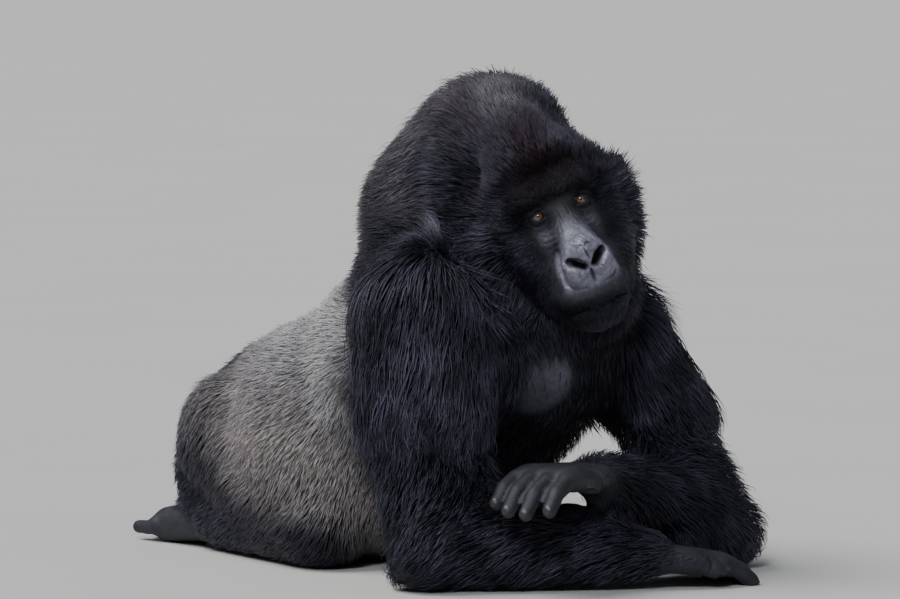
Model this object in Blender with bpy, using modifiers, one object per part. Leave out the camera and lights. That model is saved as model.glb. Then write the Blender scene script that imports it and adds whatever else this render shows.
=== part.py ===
"""A male mountain gorilla, a silverback, at rest: it leans on its folded forearms with its knees
tucked under the belly and its head turned to its right.

Frame: metres, +Z up, the floor at z = 0. The chest faces -Y, so the animal's right side is -X.
Every solid has the coat's outer surface, not the skin's. Each region of the body is a union of
rounded masses (bones and muscles with their fur), fused and smoothed, then parted by thin cuts
where a person would name a new part.
"""

import math

import bmesh
import bpy
from mathutils import Matrix, Vector

# ---------------------------------------------------------------- driving dimensions
GAP = 0.0003  # clearance left between neighbouring solids
RIGHT, LEFT = -1, 1
SIDE_NAMES = {RIGHT: "right", LEFT: "left"}
ROUND_SEGMENTS, ROUND_RINGS = 24, 14  # of each mass before it is fused
BODY_TRIANGLES, ARM_TRIANGLES, LEG_TRIANGLES, EAR_TRIANGLES = 2560, 620, 540, 110
SHARP_ANGLE = math.radians(45)
SOFT_ROUNDS = 40  # of smoothing where muscles and fur run into each other
SOFT_SWELL = 0.004  # gives back what the smoothing takes

# The head's frame has its origin on the eye line, midway between the ears.
HEAD_ORIGIN = Vector((-0.018, -0.325, 0.566))
HEAD_YAW = math.radians(32)  # turned to the animal's right
HEAD_ROLL = math.radians(22)  # the crown leans to its right
HEAD_PITCH = math.radians(2)  # the chin is drawn in
HEAD_CENTRE = Vector((0, -0.045, 0.020))  # of the ellipsoid that bounds the head's node
HEAD_RADII = (0.185, 0.215, 0.235)
NECK_CUT = Vector((0, -0.180, 0.562))
NECK_CUT_NORMAL = Vector((0, -0.42, 0.90))
EYE_RADIUS = 0.0125
EYE_SPACING = 0.068  # between the pupils
EYE_FORWARD, EYE_HEIGHT = 0.094, 0.004  # of the eyeball's centre from the head's origin
EAR_CENTRE = Vector((0.130, 0.022, 0.004))
EAR_HEIGHT, EAR_WIDTH, EAR_THICKNESS = 0.050, 0.034, 0.010
EAR_RIM_RADIUS = 0.0042
EAR_RIM_STEPS = 14

# Joints. The legs are alike on both sides, and a point on the left is mirrored for the right.
HIP = Vector((0.132, 0.270, 0.180))
HAMSTRING = Vector((0.122, 0.330, 0.092))
KNEE = Vector((0.185, 0.010, 0.072))
ANKLE = Vector((0.168, 0.290, 0.050))
BALL_OF_FOOT = Vector((0.140, 0.425, 0.028))
THIGH_RADII = (0.118, 0.108, 0.080)
SHIN_RADII = (0.078, 0.066, 0.048)

SHOULDERS = {RIGHT: Vector((-0.205, -0.245, 0.405)), LEFT: Vector((0.148, -0.265, 0.375))}
ELBOWS = {RIGHT: Vector((-0.232, -0.302, 0.078)), LEFT: Vector((0.285, -0.385, 0.065))}
WRISTS = {RIGHT: Vector((0.030, -0.500, 0.048)), LEFT: Vector((-0.015, -0.430, 0.165))}
KNUCKLES = {RIGHT: Vector((0.126, -0.512, 0.034)), LEFT: Vector((-0.122, -0.452, 0.172))}
UPPER_ARM_RADII = {RIGHT: (0.112, 0.120, 0.090), LEFT: (0.098, 0.094, 0.074)}
FOREARM_RADII = (0.076, 0.072, 0.046)

PALM_WIDTH, PALM_THICKNESS = 0.104, 0.042
FINGER_LENGTHS = (0.090, 0.104, 0.100, 0.082)  # index to little finger
FINGER_RADIUS = 0.0165
TOE_LENGTHS = (0.058, 0.060, 0.056, 0.048)
TOE_RADIUS = 0.0135


def on_side(point, side):
    """The point on that side of the body, from one given on the left."""
    return Vector((point.x * side, point.y, point.z))


def head_matrix():
    """From the head's own frame to the body's."""
    turn = (
        Matrix.Rotation(-HEAD_YAW, 4, "Z")
        @ Matrix.Rotation(-HEAD_ROLL, 4, "Y")
        @ Matrix.Rotation(HEAD_PITCH, 4, "X")
    )
    return Matrix.Translation(HEAD_ORIGIN) @ turn


HEAD = head_matrix()


# ---------------------------------------------------------------- masses
def pitch(degrees):
    """A turn that lifts the front of a mass by that many degrees."""
    return Matrix.Rotation(math.radians(-degrees), 3, "X")


def ball(bm, centre, radii, turn=None, place=None):
    """An ellipsoid of those radii, turned about its centre, in the frame of place."""
    turn = turn.to_4x4() if turn else Matrix.Identity(4)
    matrix = Matrix.Translation(centre) @ turn @ Matrix.Diagonal((*radii, 1.0))
    if place:
        matrix = place @ matrix
    bmesh.ops.create_uvsphere(
        bm, u_segments=ROUND_SEGMENTS, v_segments=ROUND_RINGS, radius=1.0, matrix=matrix
    )


def taper(bm, start, end, start_radius, end_radius, flat=1.0, flat_axis=None, place=None):
    """A round bar from start to end with domed ends; flat squeezes it along flat_axis."""
    start, end = Vector(start), Vector(end)
    along = (end - start).normalized()
    hint = Vector(flat_axis) if flat_axis else along.orthogonal()
    thin = (hint - along * hint.dot(along)).normalized()
    turn = Matrix((thin.cross(along), thin, along)).transposed()
    matrix = Matrix.Translation((start + end) / 2) @ turn.to_4x4()
    matrix = matrix @ Matrix.Diagonal((1.0, flat, 1.0, 1.0))
    if place:
        matrix = place @ matrix
    bmesh.ops.create_cone(
        bm,
        cap_ends=True,
        segments=ROUND_SEGMENTS,
        radius1=start_radius,
        radius2=end_radius,
        depth=(end - start).length,
        matrix=matrix,
    )
    for centre, radius in ((start, start_radius), (end, end_radius)):
        ball(bm, centre, (radius, radius * flat, radius), turn, place)


def limb(bm, start, end, radii, swell=0.45):
    """A limb segment of three radii: at its start, its thickest part and its end."""
    middle = start.lerp(end, swell)
    taper(bm, start, middle, radii[0], radii[1])
    taper(bm, middle, end, radii[1], radii[2])


def digit(bm, root, along, down, length, radius, curls):
    """A finger or toe: one bar for each curl angle, each bent further towards down."""
    across = along.cross(down).normalized()
    point, heading = root, along.normalized()
    count = len(curls)
    for k, curl in enumerate(curls):
        heading = Matrix.Rotation(math.radians(curl), 3, across) @ heading
        tip = point + heading * length / count
        taper(bm, point, tip, radius * (1 - 0.09 * k), radius * (1 - 0.09 * (k + 1)))
        point = tip


# ---------------------------------------------------------------- regions of the body
def trunk_masses(bm):
    """Pelvis, buttocks, belly, rib cage, shoulder blades, breast and the hump of the neck."""
    ball(bm, (0, 0.280, 0.205), (0.180, 0.150, 0.142))
    ball(bm, (0, 0.185, 0.212), (0.222, 0.185, 0.168), pitch(6))
    ball(bm, (0, 0.060, 0.202), (0.288, 0.225, 0.215), pitch(10))
    ball(bm, (0, -0.080, 0.300), (0.262, 0.205, 0.205), pitch(20))
    ball(bm, (0, -0.190, 0.370), (0.215, 0.155, 0.180), pitch(30))
    for side in (RIGHT, LEFT):
        ball(bm, (side * 0.108, 0.312, 0.128), (0.112, 0.120, 0.128))
        ball(bm, (side * 0.097, -0.130, 0.452), (0.112, 0.140, 0.100), pitch(35))
        ball(bm, (side * 0.100, -0.275, 0.350), (0.108, 0.095, 0.120))
    ball(bm, SHOULDERS[RIGHT] + Vector((0.012, 0.020, 0.008)), (0.100, 0.108, 0.112))
    ball(bm, SHOULDERS[LEFT] + Vector((0.000, 0.030, 0.012)), (0.090, 0.100, 0.100))
    ball(bm, (-0.020, -0.134, 0.546), (0.142, 0.132, 0.120), pitch(40))


def neck_masses(bm):
    """The thick neck, which runs from the shoulders up behind the crest."""
    nape = HEAD @ Vector((-0.038, 0.112, 0.092))
    throat = HEAD @ Vector((0, -0.020, -0.120))
    taper(bm, (-0.036, -0.112, 0.535), nape, 0.144, 0.132)
    taper(bm, (0, -0.190, 0.410), throat, 0.140, 0.100)


def head_masses(bm):
    """Cranium, crest, brow, temples, cheeks, muzzle and jaw, in the head's own frame."""
    ball(bm, (0, 0.020, 0.020), (0.120, 0.130, 0.105), place=HEAD)
    ball(bm, (-0.010, 0.050, 0.098), (0.072, 0.104, 0.118), place=HEAD)
    ball(bm, (-0.008, -0.030, 0.082), (0.078, 0.078, 0.084), place=HEAD)
    taper(bm, (-0.050, -0.096, 0.026), (0.050, -0.096, 0.026), 0.024, 0.024, place=HEAD)
    ball(bm, (0, -0.075, 0.024), (0.092, 0.040, 0.036), place=HEAD)
    for side in (RIGHT, LEFT):
        ball(bm, (side * 0.080, 0.005, -0.032), (0.061, 0.098, 0.106), place=HEAD)
        ball(bm, (side * 0.045, -0.066, -0.052), (0.046, 0.048, 0.052), place=HEAD)
        ball(bm, (side * 0.022, -0.172, -0.070), (0.021, 0.020, 0.019), place=HEAD)
    taper(bm, (0, -0.094, -0.002), (0, -0.166, -0.060), 0.016, 0.024, place=HEAD)
    ball(bm, (0, -0.112, -0.092), (0.056, 0.070, 0.058), place=HEAD)
    ball(bm, (0, -0.152, -0.106), (0.050, 0.040, 0.029), place=HEAD)
    ball(bm, (0, -0.118, -0.146), (0.050, 0.056, 0.032), place=HEAD)
    ball(bm, (0, -0.045, -0.110), (0.092, 0.095, 0.076), place=HEAD)


def face_hollows(bm):
    """Eye sockets, nostrils and the line between the lips, to be taken from the head."""
    for side in (RIGHT, LEFT):
        eye = (side * EYE_SPACING / 2, -EYE_FORWARD - 0.012, EYE_HEIGHT)
        ball(bm, eye, (0.021, 0.014, 0.014), place=HEAD)
        slant = Matrix.Rotation(side * math.radians(-35), 3, "Y")
        ball(bm, (side * 0.018, -0.186, -0.072), (0.0140, 0.010, 0.0060), slant, HEAD)
        start, end = (0, -0.190, -0.136), (side * 0.046, -0.140, -0.143)
        taper(bm, start, end, 0.0035, 0.0035, place=HEAD)


def arm_masses(bm, side):
    """Upper arm, forearm and hand. The hand lies palm down with its fingers half curled."""
    shoulder, elbow = SHOULDERS[side], ELBOWS[side]
    wrist, knuckle = WRISTS[side], KNUCKLES[side]
    limb(bm, shoulder, elbow, UPPER_ARM_RADII[side], swell=0.55)
    limb(bm, elbow, wrist, FOREARM_RADII, swell=0.35)
    along = (knuckle - wrist).normalized()
    towards_thumb = Vector((0, 0, 1)).cross(along).normalized() * side
    down = towards_thumb.cross(along) * side
    flat = PALM_THICKNESS / PALM_WIDTH * 1.6
    for share in (-0.30, 0.0, 0.30):
        offset = towards_thumb * PALM_WIDTH * share
        taper(bm, wrist + offset * 0.45, knuckle + offset, 0.034, 0.031, flat, down)
    spacing = PALM_WIDTH * 0.29
    for k, length in enumerate(FINGER_LENGTHS):
        root = knuckle + towards_thumb * spacing * (1.5 - k)
        spread = along + towards_thumb * 0.06 * (1.5 - k)
        digit(bm, root, spread, down, length, FINGER_RADIUS, (8, 22, 26))
    thumb = wrist + along * 0.035 + towards_thumb * PALM_WIDTH * 0.42
    digit(bm, thumb, along + towards_thumb * 0.55, down, 0.062, 0.0155, (0, 12))


def leg_masses(bm, side):
    """Thigh, lower leg and foot. The foot lies on its back with the sole up and the heel raised."""
    hip, knee = on_side(HIP, side), on_side(KNEE, side)
    ankle, sole = on_side(ANKLE, side), on_side(BALL_OF_FOOT, side)
    limb(bm, hip, knee, THIGH_RADII)
    ball(bm, on_side(HAMSTRING, side), (0.085, 0.092, 0.080))
    limb(bm, knee, ankle, SHIN_RADII, swell=0.4)
    along = (sole - ankle).normalized()
    up = Vector((0, 0, 1))
    outward = along.cross(up).normalized() * side
    ball(bm, ankle + Vector((0, 0.012, 0.030)), (0.036, 0.040, 0.036))
    for share in (-0.30, 0.0, 0.30):
        taper(bm, ankle, sole + outward * 0.088 * share, 0.036, 0.032, 0.95, up)
    for k, length in enumerate(TOE_LENGTHS):
        root = sole + outward * 0.025 * (k - 1.0)
        heading = along + outward * 0.12 * (k - 1.0)
        digit(bm, root, heading, up, length, TOE_RADIUS, (-6, 14))
    big_toe = ankle.lerp(sole, 0.72) - outward * 0.036
    digit(bm, big_toe, along - outward * 0.75, up, 0.075, 0.0175, (0, 12))


def ear_masses(bm, side):
    """A small round ear: a rim around a thin shell on a short root, at the side of the head."""
    centre = on_side(EAR_CENTRE, side)
    across, height = EAR_WIDTH / 2 - EAR_RIM_RADIUS, EAR_HEIGHT / 2 - EAR_RIM_RADIUS
    ball(bm, centre, (EAR_THICKNESS / 2, across, height), place=HEAD)
    ball(bm, centre - Vector((side * 0.010, 0, 0)), (0.014, 0.012, 0.015), place=HEAD)
    rim = []
    for k in range(EAR_RIM_STEPS):
        angle = 2 * math.pi * k / EAR_RIM_STEPS
        offset = Vector((0.003 * side, across * math.cos(angle), height * math.sin(angle)))
        rim.append(centre + offset)
    for start, end in zip(rim, rim[1:] + rim[:1]):
        taper(bm, start, end, EAR_RIM_RADIUS, EAR_RIM_RADIUS, place=HEAD)


# ---------------------------------------------------------------- fusing and parting
def evaluated_mesh(obj):
    bpy.context.view_layer.update()
    graph = bpy.context.evaluated_depsgraph_get()
    return bpy.data.meshes.new_from_object(obj.evaluated_get(graph))


def settle(obj):
    """Applies the object's modifiers."""
    mesh = evaluated_mesh(obj)
    obj.modifiers.clear()
    obj.data = mesh


def object_from(name, bm):
    mesh = bpy.data.meshes.new(name)
    bm.to_mesh(mesh)
    bm.free()
    obj = bpy.data.objects.new(name, mesh)
    bpy.context.scene.collection.objects.link(obj)
    return obj


def voxels(obj, size):
    remesh = obj.modifiers.new("fuse", "REMESH")
    remesh.mode = "VOXEL"
    remesh.voxel_size = size
    settle(obj)


def combine(obj, other, operation):
    """Obj joined with, cut by or kept within the other object, which is then removed."""
    boolean = obj.modifiers.new(operation, "BOOLEAN")
    boolean.operation = operation
    boolean.object = other
    settle(obj)
    bpy.data.objects.remove(other)


def smoothed(obj, rounds, group=""):
    smooth = obj.modifiers.new("smooth", "SMOOTH")
    smooth.factor = 0.5
    smooth.iterations = rounds
    smooth.vertex_group = group
    settle(obj)


def softened(obj, is_soft, rounds, swell):
    """Blends the masses where is_soft holds, and swells them by what that has worn away."""
    soft = obj.vertex_groups.new(name="soft")
    soft.add([v.index for v in obj.data.vertices if is_soft(v.co)], 1.0, "REPLACE")
    smoothed(obj, rounds, soft.name)
    restore = obj.modifiers.new("restore", "DISPLACE")
    restore.strength = swell
    restore.mid_level = 0.0
    restore.vertex_group = soft.name
    settle(obj)
    smoothed(obj, 4)
    obj.vertex_groups.clear()


def fused(name, masses, voxel, triangles, hollows=None, is_soft=None):
    """One smooth closed solid around the masses, less the hollows, of about that many triangles."""
    obj = object_from(name, masses)
    voxels(obj, voxel)
    if hollows:
        cutter = object_from(name + "_hollows", hollows)
        voxels(cutter, voxel / 2)
        combine(obj, cutter, "DIFFERENCE")
        voxels(obj, voxel)
    smoothed(obj, 4)
    if is_soft:
        softened(obj, is_soft, SOFT_ROUNDS, SOFT_SWELL)
    fewer = obj.modifiers.new("fewer", "DECIMATE")
    fewer.ratio = triangles / (2 * len(obj.data.polygons))
    fewer.use_collapse_triangulate = True
    settle(obj)
    return obj


def grown_copy(obj, amount=2 * GAP):
    """A copy with its surface moved outwards, for cutting a neighbour clear of obj."""
    copy = obj.copy()
    copy.data = obj.data.copy()
    bpy.context.scene.collection.objects.link(copy)
    swell = copy.modifiers.new("grow", "DISPLACE")
    swell.strength = amount
    swell.mid_level = 0.0
    settle(copy)
    return copy


def largest_body(obj):
    """Keeps the largest of obj's separate shells, which drops slivers that a cut has left."""
    bm = bmesh.new()
    bm.from_mesh(obj.data)
    left, shells = set(bm.verts), []
    while left:
        shell, edge = set(), [next(iter(left))]
        while edge:
            vert = edge.pop()
            if vert in left:
                left.discard(vert)
                shell.add(vert)
                edge += [e.other_vert(vert) for e in vert.link_edges]
        shells.append(shell)
    keep = max(shells, key=len)
    bmesh.ops.delete(bm, geom=[v for v in bm.verts if v not in keep], context="VERTS")
    bm.to_mesh(obj.data)
    bm.free()


def trimmed(obj, point, normal):
    """Cuts away what lies beyond the plane, where its normal points, and closes the cut."""
    bm = bmesh.new()
    bm.from_mesh(obj.data)
    geometry = bm.verts[:] + bm.edges[:] + bm.faces[:]
    cut = bmesh.ops.bisect_plane(
        bm, geom=geometry, plane_co=point, plane_no=normal, clear_outer=True, dist=1e-6
    )
    rim = [e for e in cut["geom_cut"] if isinstance(e, bmesh.types.BMEdge)]
    bmesh.ops.triangle_fill(bm, edges=rim, use_beauty=True, normal=normal)
    bmesh.ops.recalc_face_normals(bm, faces=bm.faces)
    bm.to_mesh(obj.data)
    bm.free()


def split(obj, point, normal, far_name):
    """Parts obj at a plane; the far side, where the normal points, becomes a new object."""
    far = obj.copy()
    far.data = obj.data.copy()
    far.name = far_name
    bpy.context.scene.collection.objects.link(far)
    normal = normal.normalized()
    trimmed(obj, point - normal * GAP / 2, normal)
    trimmed(far, point + normal * GAP / 2, -normal)
    largest_body(obj)
    largest_body(far)
    return far


def stand_on_floor(obj):
    """Presses flat what reaches the floor."""
    trimmed(obj, Vector((0, 0, 0)), Vector((0, 0, -1)))


# ---------------------------------------------------------------- finishes
BLACK_FUR = ((0.022, 0.022, 0.028), 0.55)  # colour and roughness
BROWN_BLACK_FUR = ((0.034, 0.028, 0.028), 0.60)
SILVER_FUR = ((0.170, 0.158, 0.155), 0.60)
BARE_SKIN = ((0.030, 0.029, 0.033), 0.42)
BROWN_EYE = ((0.080, 0.032, 0.012), 0.08)


def finish(obj, look):
    """Gives the part its own material and smooth shading."""
    colour, roughness = look
    material = bpy.data.materials.new(obj.name + "_finish")
    material.use_nodes = True
    shader = material.node_tree.nodes["Principled BSDF"]
    shader.inputs["Base Color"].default_value = (*colour, 1.0)
    shader.inputs["Roughness"].default_value = roughness
    shader.inputs["Metallic"].default_value = 0.0
    obj.data.materials.clear()
    obj.data.materials.append(material)
    obj.data.shade_smooth()
    obj.data.set_sharp_from_angle(angle=SHARP_ANGLE)


# ---------------------------------------------------------------- the parts
def make_ear(side):
    bm = bmesh.new()
    ear_masses(bm, side)
    return fused(f"ear_{SIDE_NAMES[side]}", bm, 0.0022, EAR_TRIANGLES)


def make_eye(name, side, radius):
    bm = bmesh.new()
    matrix = Matrix.Translation(HEAD @ Vector((side * EYE_SPACING / 2, -EYE_FORWARD, EYE_HEIGHT)))
    bmesh.ops.create_uvsphere(bm, u_segments=12, v_segments=8, radius=radius, matrix=matrix)
    return object_from(name, bm)


def make_body():
    """Trunk, neck and head as one solid, with the face's hollows. All but the head is soft."""
    inverse = HEAD.inverted()

    def is_soft(point):
        local = (inverse @ point) - HEAD_CENTRE
        return Vector(a / b for a, b in zip(local, HEAD_RADII)).length > 0.86

    bm, hollows = bmesh.new(), bmesh.new()
    trunk_masses(bm)
    neck_masses(bm)
    head_masses(bm)
    face_hollows(hollows)
    return fused("trunk", bm, 0.0055, BODY_TRIANGLES, hollows, is_soft)


def make_leg(side):
    bm = bmesh.new()
    leg_masses(bm, side)
    ankle, ball_of_foot = on_side(ANKLE, side), on_side(BALL_OF_FOOT, side)

    def is_soft(point):
        return (point - ankle).dot(ball_of_foot - ankle) < 0

    leg = fused(f"thigh_{SIDE_NAMES[side]}", bm, 0.005, LEG_TRIANGLES, is_soft=is_soft)
    stand_on_floor(leg)
    return leg


def make_arm(side):
    bm = bmesh.new()
    arm_masses(bm, side)
    wrist, knuckles = WRISTS[side], KNUCKLES[side]

    def is_soft(point):
        return (point - wrist).dot(knuckles - wrist) < 0

    arm = fused(f"upper_arm_{SIDE_NAMES[side]}", bm, 0.005, ARM_TRIANGLES, is_soft=is_soft)
    stand_on_floor(arm)
    return arm


def head_region(grow):
    """The ellipsoid that holds the head, down to the chin and back to the nape."""
    bm = bmesh.new()
    radii = [radius + grow for radius in HEAD_RADII]
    matrix = HEAD @ Matrix.Translation(HEAD_CENTRE) @ Matrix.Diagonal((*radii, 1.0))
    bmesh.ops.create_uvsphere(bm, u_segments=16, v_segments=10, radius=1.0, matrix=matrix)
    return object_from("head_region", bm)


def divide_arm(arm, side):
    """Parts the arm at the elbow and the wrist; arm keeps the upper arm."""
    shoulder, elbow, wrist = SHOULDERS[side], ELBOWS[side], WRISTS[side]
    bisector = (wrist - elbow).normalized() - (shoulder - elbow).normalized()
    forearm = split(arm, elbow, bisector, f"forearm_{SIDE_NAMES[side]}")
    hand = split(forearm, wrist, KNUCKLES[side] - wrist, f"hand_{SIDE_NAMES[side]}")
    return forearm, hand


def divide_leg(leg, side):
    """Parts the leg at the knee and the ankle; leg keeps the thigh."""
    hip, knee, ankle, ball_of_foot = (on_side(p, side) for p in (HIP, KNEE, ANKLE, BALL_OF_FOOT))
    bisector = (ankle - knee).normalized() - (hip - knee).normalized()
    shin = split(leg, knee, bisector, f"lower_leg_{SIDE_NAMES[side]}")
    foot = split(shin, ankle, ball_of_foot - ankle, f"foot_{SIDE_NAMES[side]}")
    return shin, foot


def gather(parts):
    """Hangs the parts on an empty that sets the origin on the floor under the middle of them."""
    bpy.context.view_layer.update()
    corners = [part.matrix_world @ vert.co for part in parts for vert in part.data.vertices]
    low = [min(corner[k] for corner in corners) for k in range(3)]
    high = [max(corner[k] for corner in corners) for k in range(3)]
    collection = bpy.data.collections.new("silverback_gorilla")
    bpy.context.scene.collection.children.link(collection)
    place = bpy.data.objects.new("place_on_floor", None)
    place.location = (-(low[0] + high[0]) / 2, -(low[1] + high[1]) / 2, -low[2])
    collection.objects.link(place)
    for part in parts:
        bpy.context.scene.collection.objects.unlink(part)
        collection.objects.link(part)
        part.parent = place


def main():
    for thing in list(bpy.data.objects):
        bpy.data.objects.remove(thing)

    trunk = make_body()
    eyes, ears = [], []
    for side in (RIGHT, LEFT):
        eyes.append(make_eye(f"eye_{SIDE_NAMES[side]}", side, EYE_RADIUS))
        ears.append(make_ear(side))
        combine(trunk, make_eye("eye_socket", side, EYE_RADIUS + 2 * GAP), "DIFFERENCE")
        combine(trunk, grown_copy(ears[-1]), "DIFFERENCE")
    largest_body(trunk)
    stand_on_floor(trunk)

    legs = {side: make_leg(side) for side in (RIGHT, LEFT)}
    for leg in legs.values():
        combine(trunk, grown_copy(leg), "DIFFERENCE")
    largest_body(trunk)
    arms = {side: make_arm(side) for side in (RIGHT, LEFT)}
    combine(arms[LEFT], grown_copy(arms[RIGHT]), "DIFFERENCE")
    for arm in arms.values():
        combine(arm, grown_copy(trunk), "DIFFERENCE")
        largest_body(arm)

    limbs, ends = [], []
    for side in (RIGHT, LEFT):
        forearm, hand = divide_arm(arms[side], side)
        shin, foot = divide_leg(legs[side], side)
        limbs += [arms[side], forearm, legs[side], shin]
        ends += [hand, foot]

    head = trunk.copy()
    head.data = trunk.data.copy()
    head.name = "head"
    bpy.context.scene.collection.objects.link(head)
    combine(head, head_region(0), "INTERSECT")
    largest_body(head)
    combine(trunk, head_region(GAP), "DIFFERENCE")
    largest_body(trunk)
    neck = split(trunk, NECK_CUT, NECK_CUT_NORMAL, "neck")

    looks = [(eyes, BROWN_EYE), (ears + ends, BARE_SKIN), (limbs, BLACK_FUR)]
    looks += [([head, neck], BROWN_BLACK_FUR), ([trunk], SILVER_FUR)]
    for parts, look in looks:
        for part in parts:
            finish(part, look)
    gather([part for parts, _ in looks for part in parts])


main()
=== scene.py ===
"""A silverback mountain gorilla at life size, leaning on its folded forearms: skin, eyes, nails and coat.

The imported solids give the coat's outer outline. One skin lies inside them by the coat's depth, and
locks of hair, each a thin closed spindle, grow from the skin and follow the lie of the coat.
"""

import math

import bmesh
import bpy
import numpy as np
from mathutils import Matrix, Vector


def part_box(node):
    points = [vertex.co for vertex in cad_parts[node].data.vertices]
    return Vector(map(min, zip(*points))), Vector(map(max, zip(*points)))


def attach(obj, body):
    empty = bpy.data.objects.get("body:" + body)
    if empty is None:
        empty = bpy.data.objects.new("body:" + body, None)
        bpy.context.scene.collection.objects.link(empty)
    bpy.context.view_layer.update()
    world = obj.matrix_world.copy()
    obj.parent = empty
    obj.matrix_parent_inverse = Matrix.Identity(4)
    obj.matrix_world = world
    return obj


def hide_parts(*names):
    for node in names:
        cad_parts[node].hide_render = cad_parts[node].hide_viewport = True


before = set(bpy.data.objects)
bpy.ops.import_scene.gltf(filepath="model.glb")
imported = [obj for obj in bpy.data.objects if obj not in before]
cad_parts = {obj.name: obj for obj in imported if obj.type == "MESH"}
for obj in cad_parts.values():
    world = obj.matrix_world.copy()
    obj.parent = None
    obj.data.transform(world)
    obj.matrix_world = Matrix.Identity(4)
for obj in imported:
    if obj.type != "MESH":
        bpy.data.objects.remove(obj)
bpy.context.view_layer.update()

# ---------------------------------------------------------------- sizes and places, in metres
HEAD_YAW, HEAD_ROLL, HEAD_PITCH = (math.radians(a) for a in (32, 22, 2))  # as the solids' head is turned
EYE_SPOT = np.array((0.034, -0.094, 0.004))  # the left eyeball's centre in the head's own frame
EYE_RADIUS = 0.0123  # without the cornea's dome
MODEL_HEAD = np.array((-0.018, -0.325, 0.566))  # the head's origin in the model's own frame

SIDES = ("right", "left")
SKIN_VOXEL = 0.0050  # the first even mesh of the skin
SKIN_THINNED = 0.32  # the share of it that is kept away from hands and feet
FLOOR_GAP = 0.0006  # the skin's lowest height over the floor
FLESH = [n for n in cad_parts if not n.startswith(("eye_", "ear_"))]
UP = np.array((0.0, 0.0, 1.0))
DOWN = np.array((0.0, 0.0, -1.0))

# In the model's own frame: shoulder, elbow, wrist and knuckles; hip, knee, ankle and ball of the foot.
ARMS = {"right": np.array([(-0.205, -0.245, 0.405), (-0.232, -0.302, 0.078), (0.030, -0.500, 0.048),
                           (0.126, -0.512, 0.034)]),
        "left": np.array([(0.148, -0.265, 0.375), (0.285, -0.385, 0.065), (-0.015, -0.430, 0.165),
                          (-0.122, -0.452, 0.172)])}
LEGS = {side: np.array([(0.132, 0.270, 0.180), (0.185, 0.010, 0.072), (0.168, 0.290, 0.050),
                        (0.140, 0.425, 0.028)]) * (sign, 1, 1) for side, sign in (("right", -1), ("left", 1))}


def turn(axis, angle):
    """Rotation by angle about one of the axes 0, 1, 2, right-handed."""
    i, j = [(1, 2), (2, 0), (0, 1)][axis]
    matrix = np.eye(3)
    matrix[i, i] = matrix[j, j] = math.cos(angle)
    matrix[j, i] = math.sin(angle)
    matrix[i, j] = -math.sin(angle)
    return matrix


def middle(node):
    """The middle of a solid's box."""
    low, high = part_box(node)
    return (np.array(low) + np.array(high)) / 2


HEAD_TURN = turn(2, -HEAD_YAW) @ turn(1, -HEAD_ROLL) @ turn(0, HEAD_PITCH)
HEAD_ORIGIN = (middle("eye_right") + middle("eye_left")) / 2 - HEAD_TURN @ (EYE_SPOT * (0, 1, 1))
MODEL_PLACE = HEAD_ORIGIN - MODEL_HEAD  # where the model's own origin lies in the frame


def to_head(points):
    """The head's own coordinates of points: x to the animal's left, y backwards, z up."""
    return (points - HEAD_ORIGIN) @ HEAD_TURN


def from_head(points):
    """The reverse of to_head."""
    return points @ HEAD_TURN.T + HEAD_ORIGIN


# ---------------------------------------------------------------- array helpers
def smooth_step(low, high, value):
    """0 below low, 1 above high, and a cubic ease between; low may be the greater."""
    t = np.clip((value - low) / (high - low), 0, 1)
    return t * t * (3 - 2 * t)


def unit(vectors):
    """A vector, or each row of many, at length one."""
    return vectors / np.maximum(np.linalg.norm(vectors, axis=-1, keepdims=True), 1e-9)


def mirrored(points):
    """Points moved over to the side of positive x, for what is the same left and right."""
    return np.stack([np.abs(points[:, 0]), points[:, 1], points[:, 2]], axis=1)


def lattice_noise(points, size, seed):
    """Smooth noise of -1 to 1: random values on a cubic lattice of that size, eased between corners."""
    q = points / size
    base = np.floor(q).astype(np.int64)
    f = q - base
    f = f * f * (3 - 2 * f)
    total = np.zeros(len(points))
    for corner in np.ndindex(2, 2, 2):
        cell = base + corner
        key = cell[:, 0] * 73856093 ^ cell[:, 1] * 19349663 ^ cell[:, 2] * 83492791 ^ seed * 2654435761
        key = (key ^ (key >> 13)) * 1274126177 & 0x7FFFFFFF
        key = (key ^ (key >> 16)) * 668265263 & 0x7FFFFFFF
        share = np.where(corner, f, 1 - f).prod(1)
        total += share * (key / 0x3FFFFFFF - 1)
    return total


def noise_vectors(points, size, seed):
    """Three lattice noises as a vector at each point."""
    return np.stack([lattice_noise(points, size, seed + k) for k in range(3)], axis=1)


def spread(values, edges, rounds, hold=0.0):
    """Values evened out over a mesh: each round moves them to the mean of their neighbours, less hold."""
    count = np.bincount(edges.ravel(), minlength=len(values))[:, None]
    out = values.reshape(len(values), -1).astype(float)
    for _ in range(rounds):
        total = np.empty_like(out)
        for k in range(out.shape[1]):
            total[:, k] = np.bincount(edges[:, 0], out[edges[:, 1], k], len(out))
            total[:, k] += np.bincount(edges[:, 1], out[edges[:, 0], k], len(out))
        out = hold * out + (1 - hold) * total / np.maximum(count, 1)
    return out.reshape(values.shape)


# ---------------------------------------------------------------- forms as signed distances
def round_end_rod(p, start, end, start_radius, end_radius):
    """Distance to a rod with round ends: to the nearest point of its axis, less a radius that tapers."""
    start, end = np.asarray(start), np.asarray(end)
    along = end - start
    t = np.clip((p - start) @ along / (along @ along), 0, 1)
    off_axis = np.linalg.norm(p - start - t[:, None] * along, axis=1)
    return off_axis - start_radius - t * (end_radius - start_radius)


def egg(p, centre, radii):
    """Distance to an ellipsoid, close enough near its surface: k(k-1)/m, k and m scaled lengths."""
    q = (p - np.asarray(centre)) / np.asarray(radii)
    k = np.linalg.norm(q, axis=1)
    return k * (k - 1) / np.maximum(np.linalg.norm(q / np.asarray(radii), axis=1), 1e-9)


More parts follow.
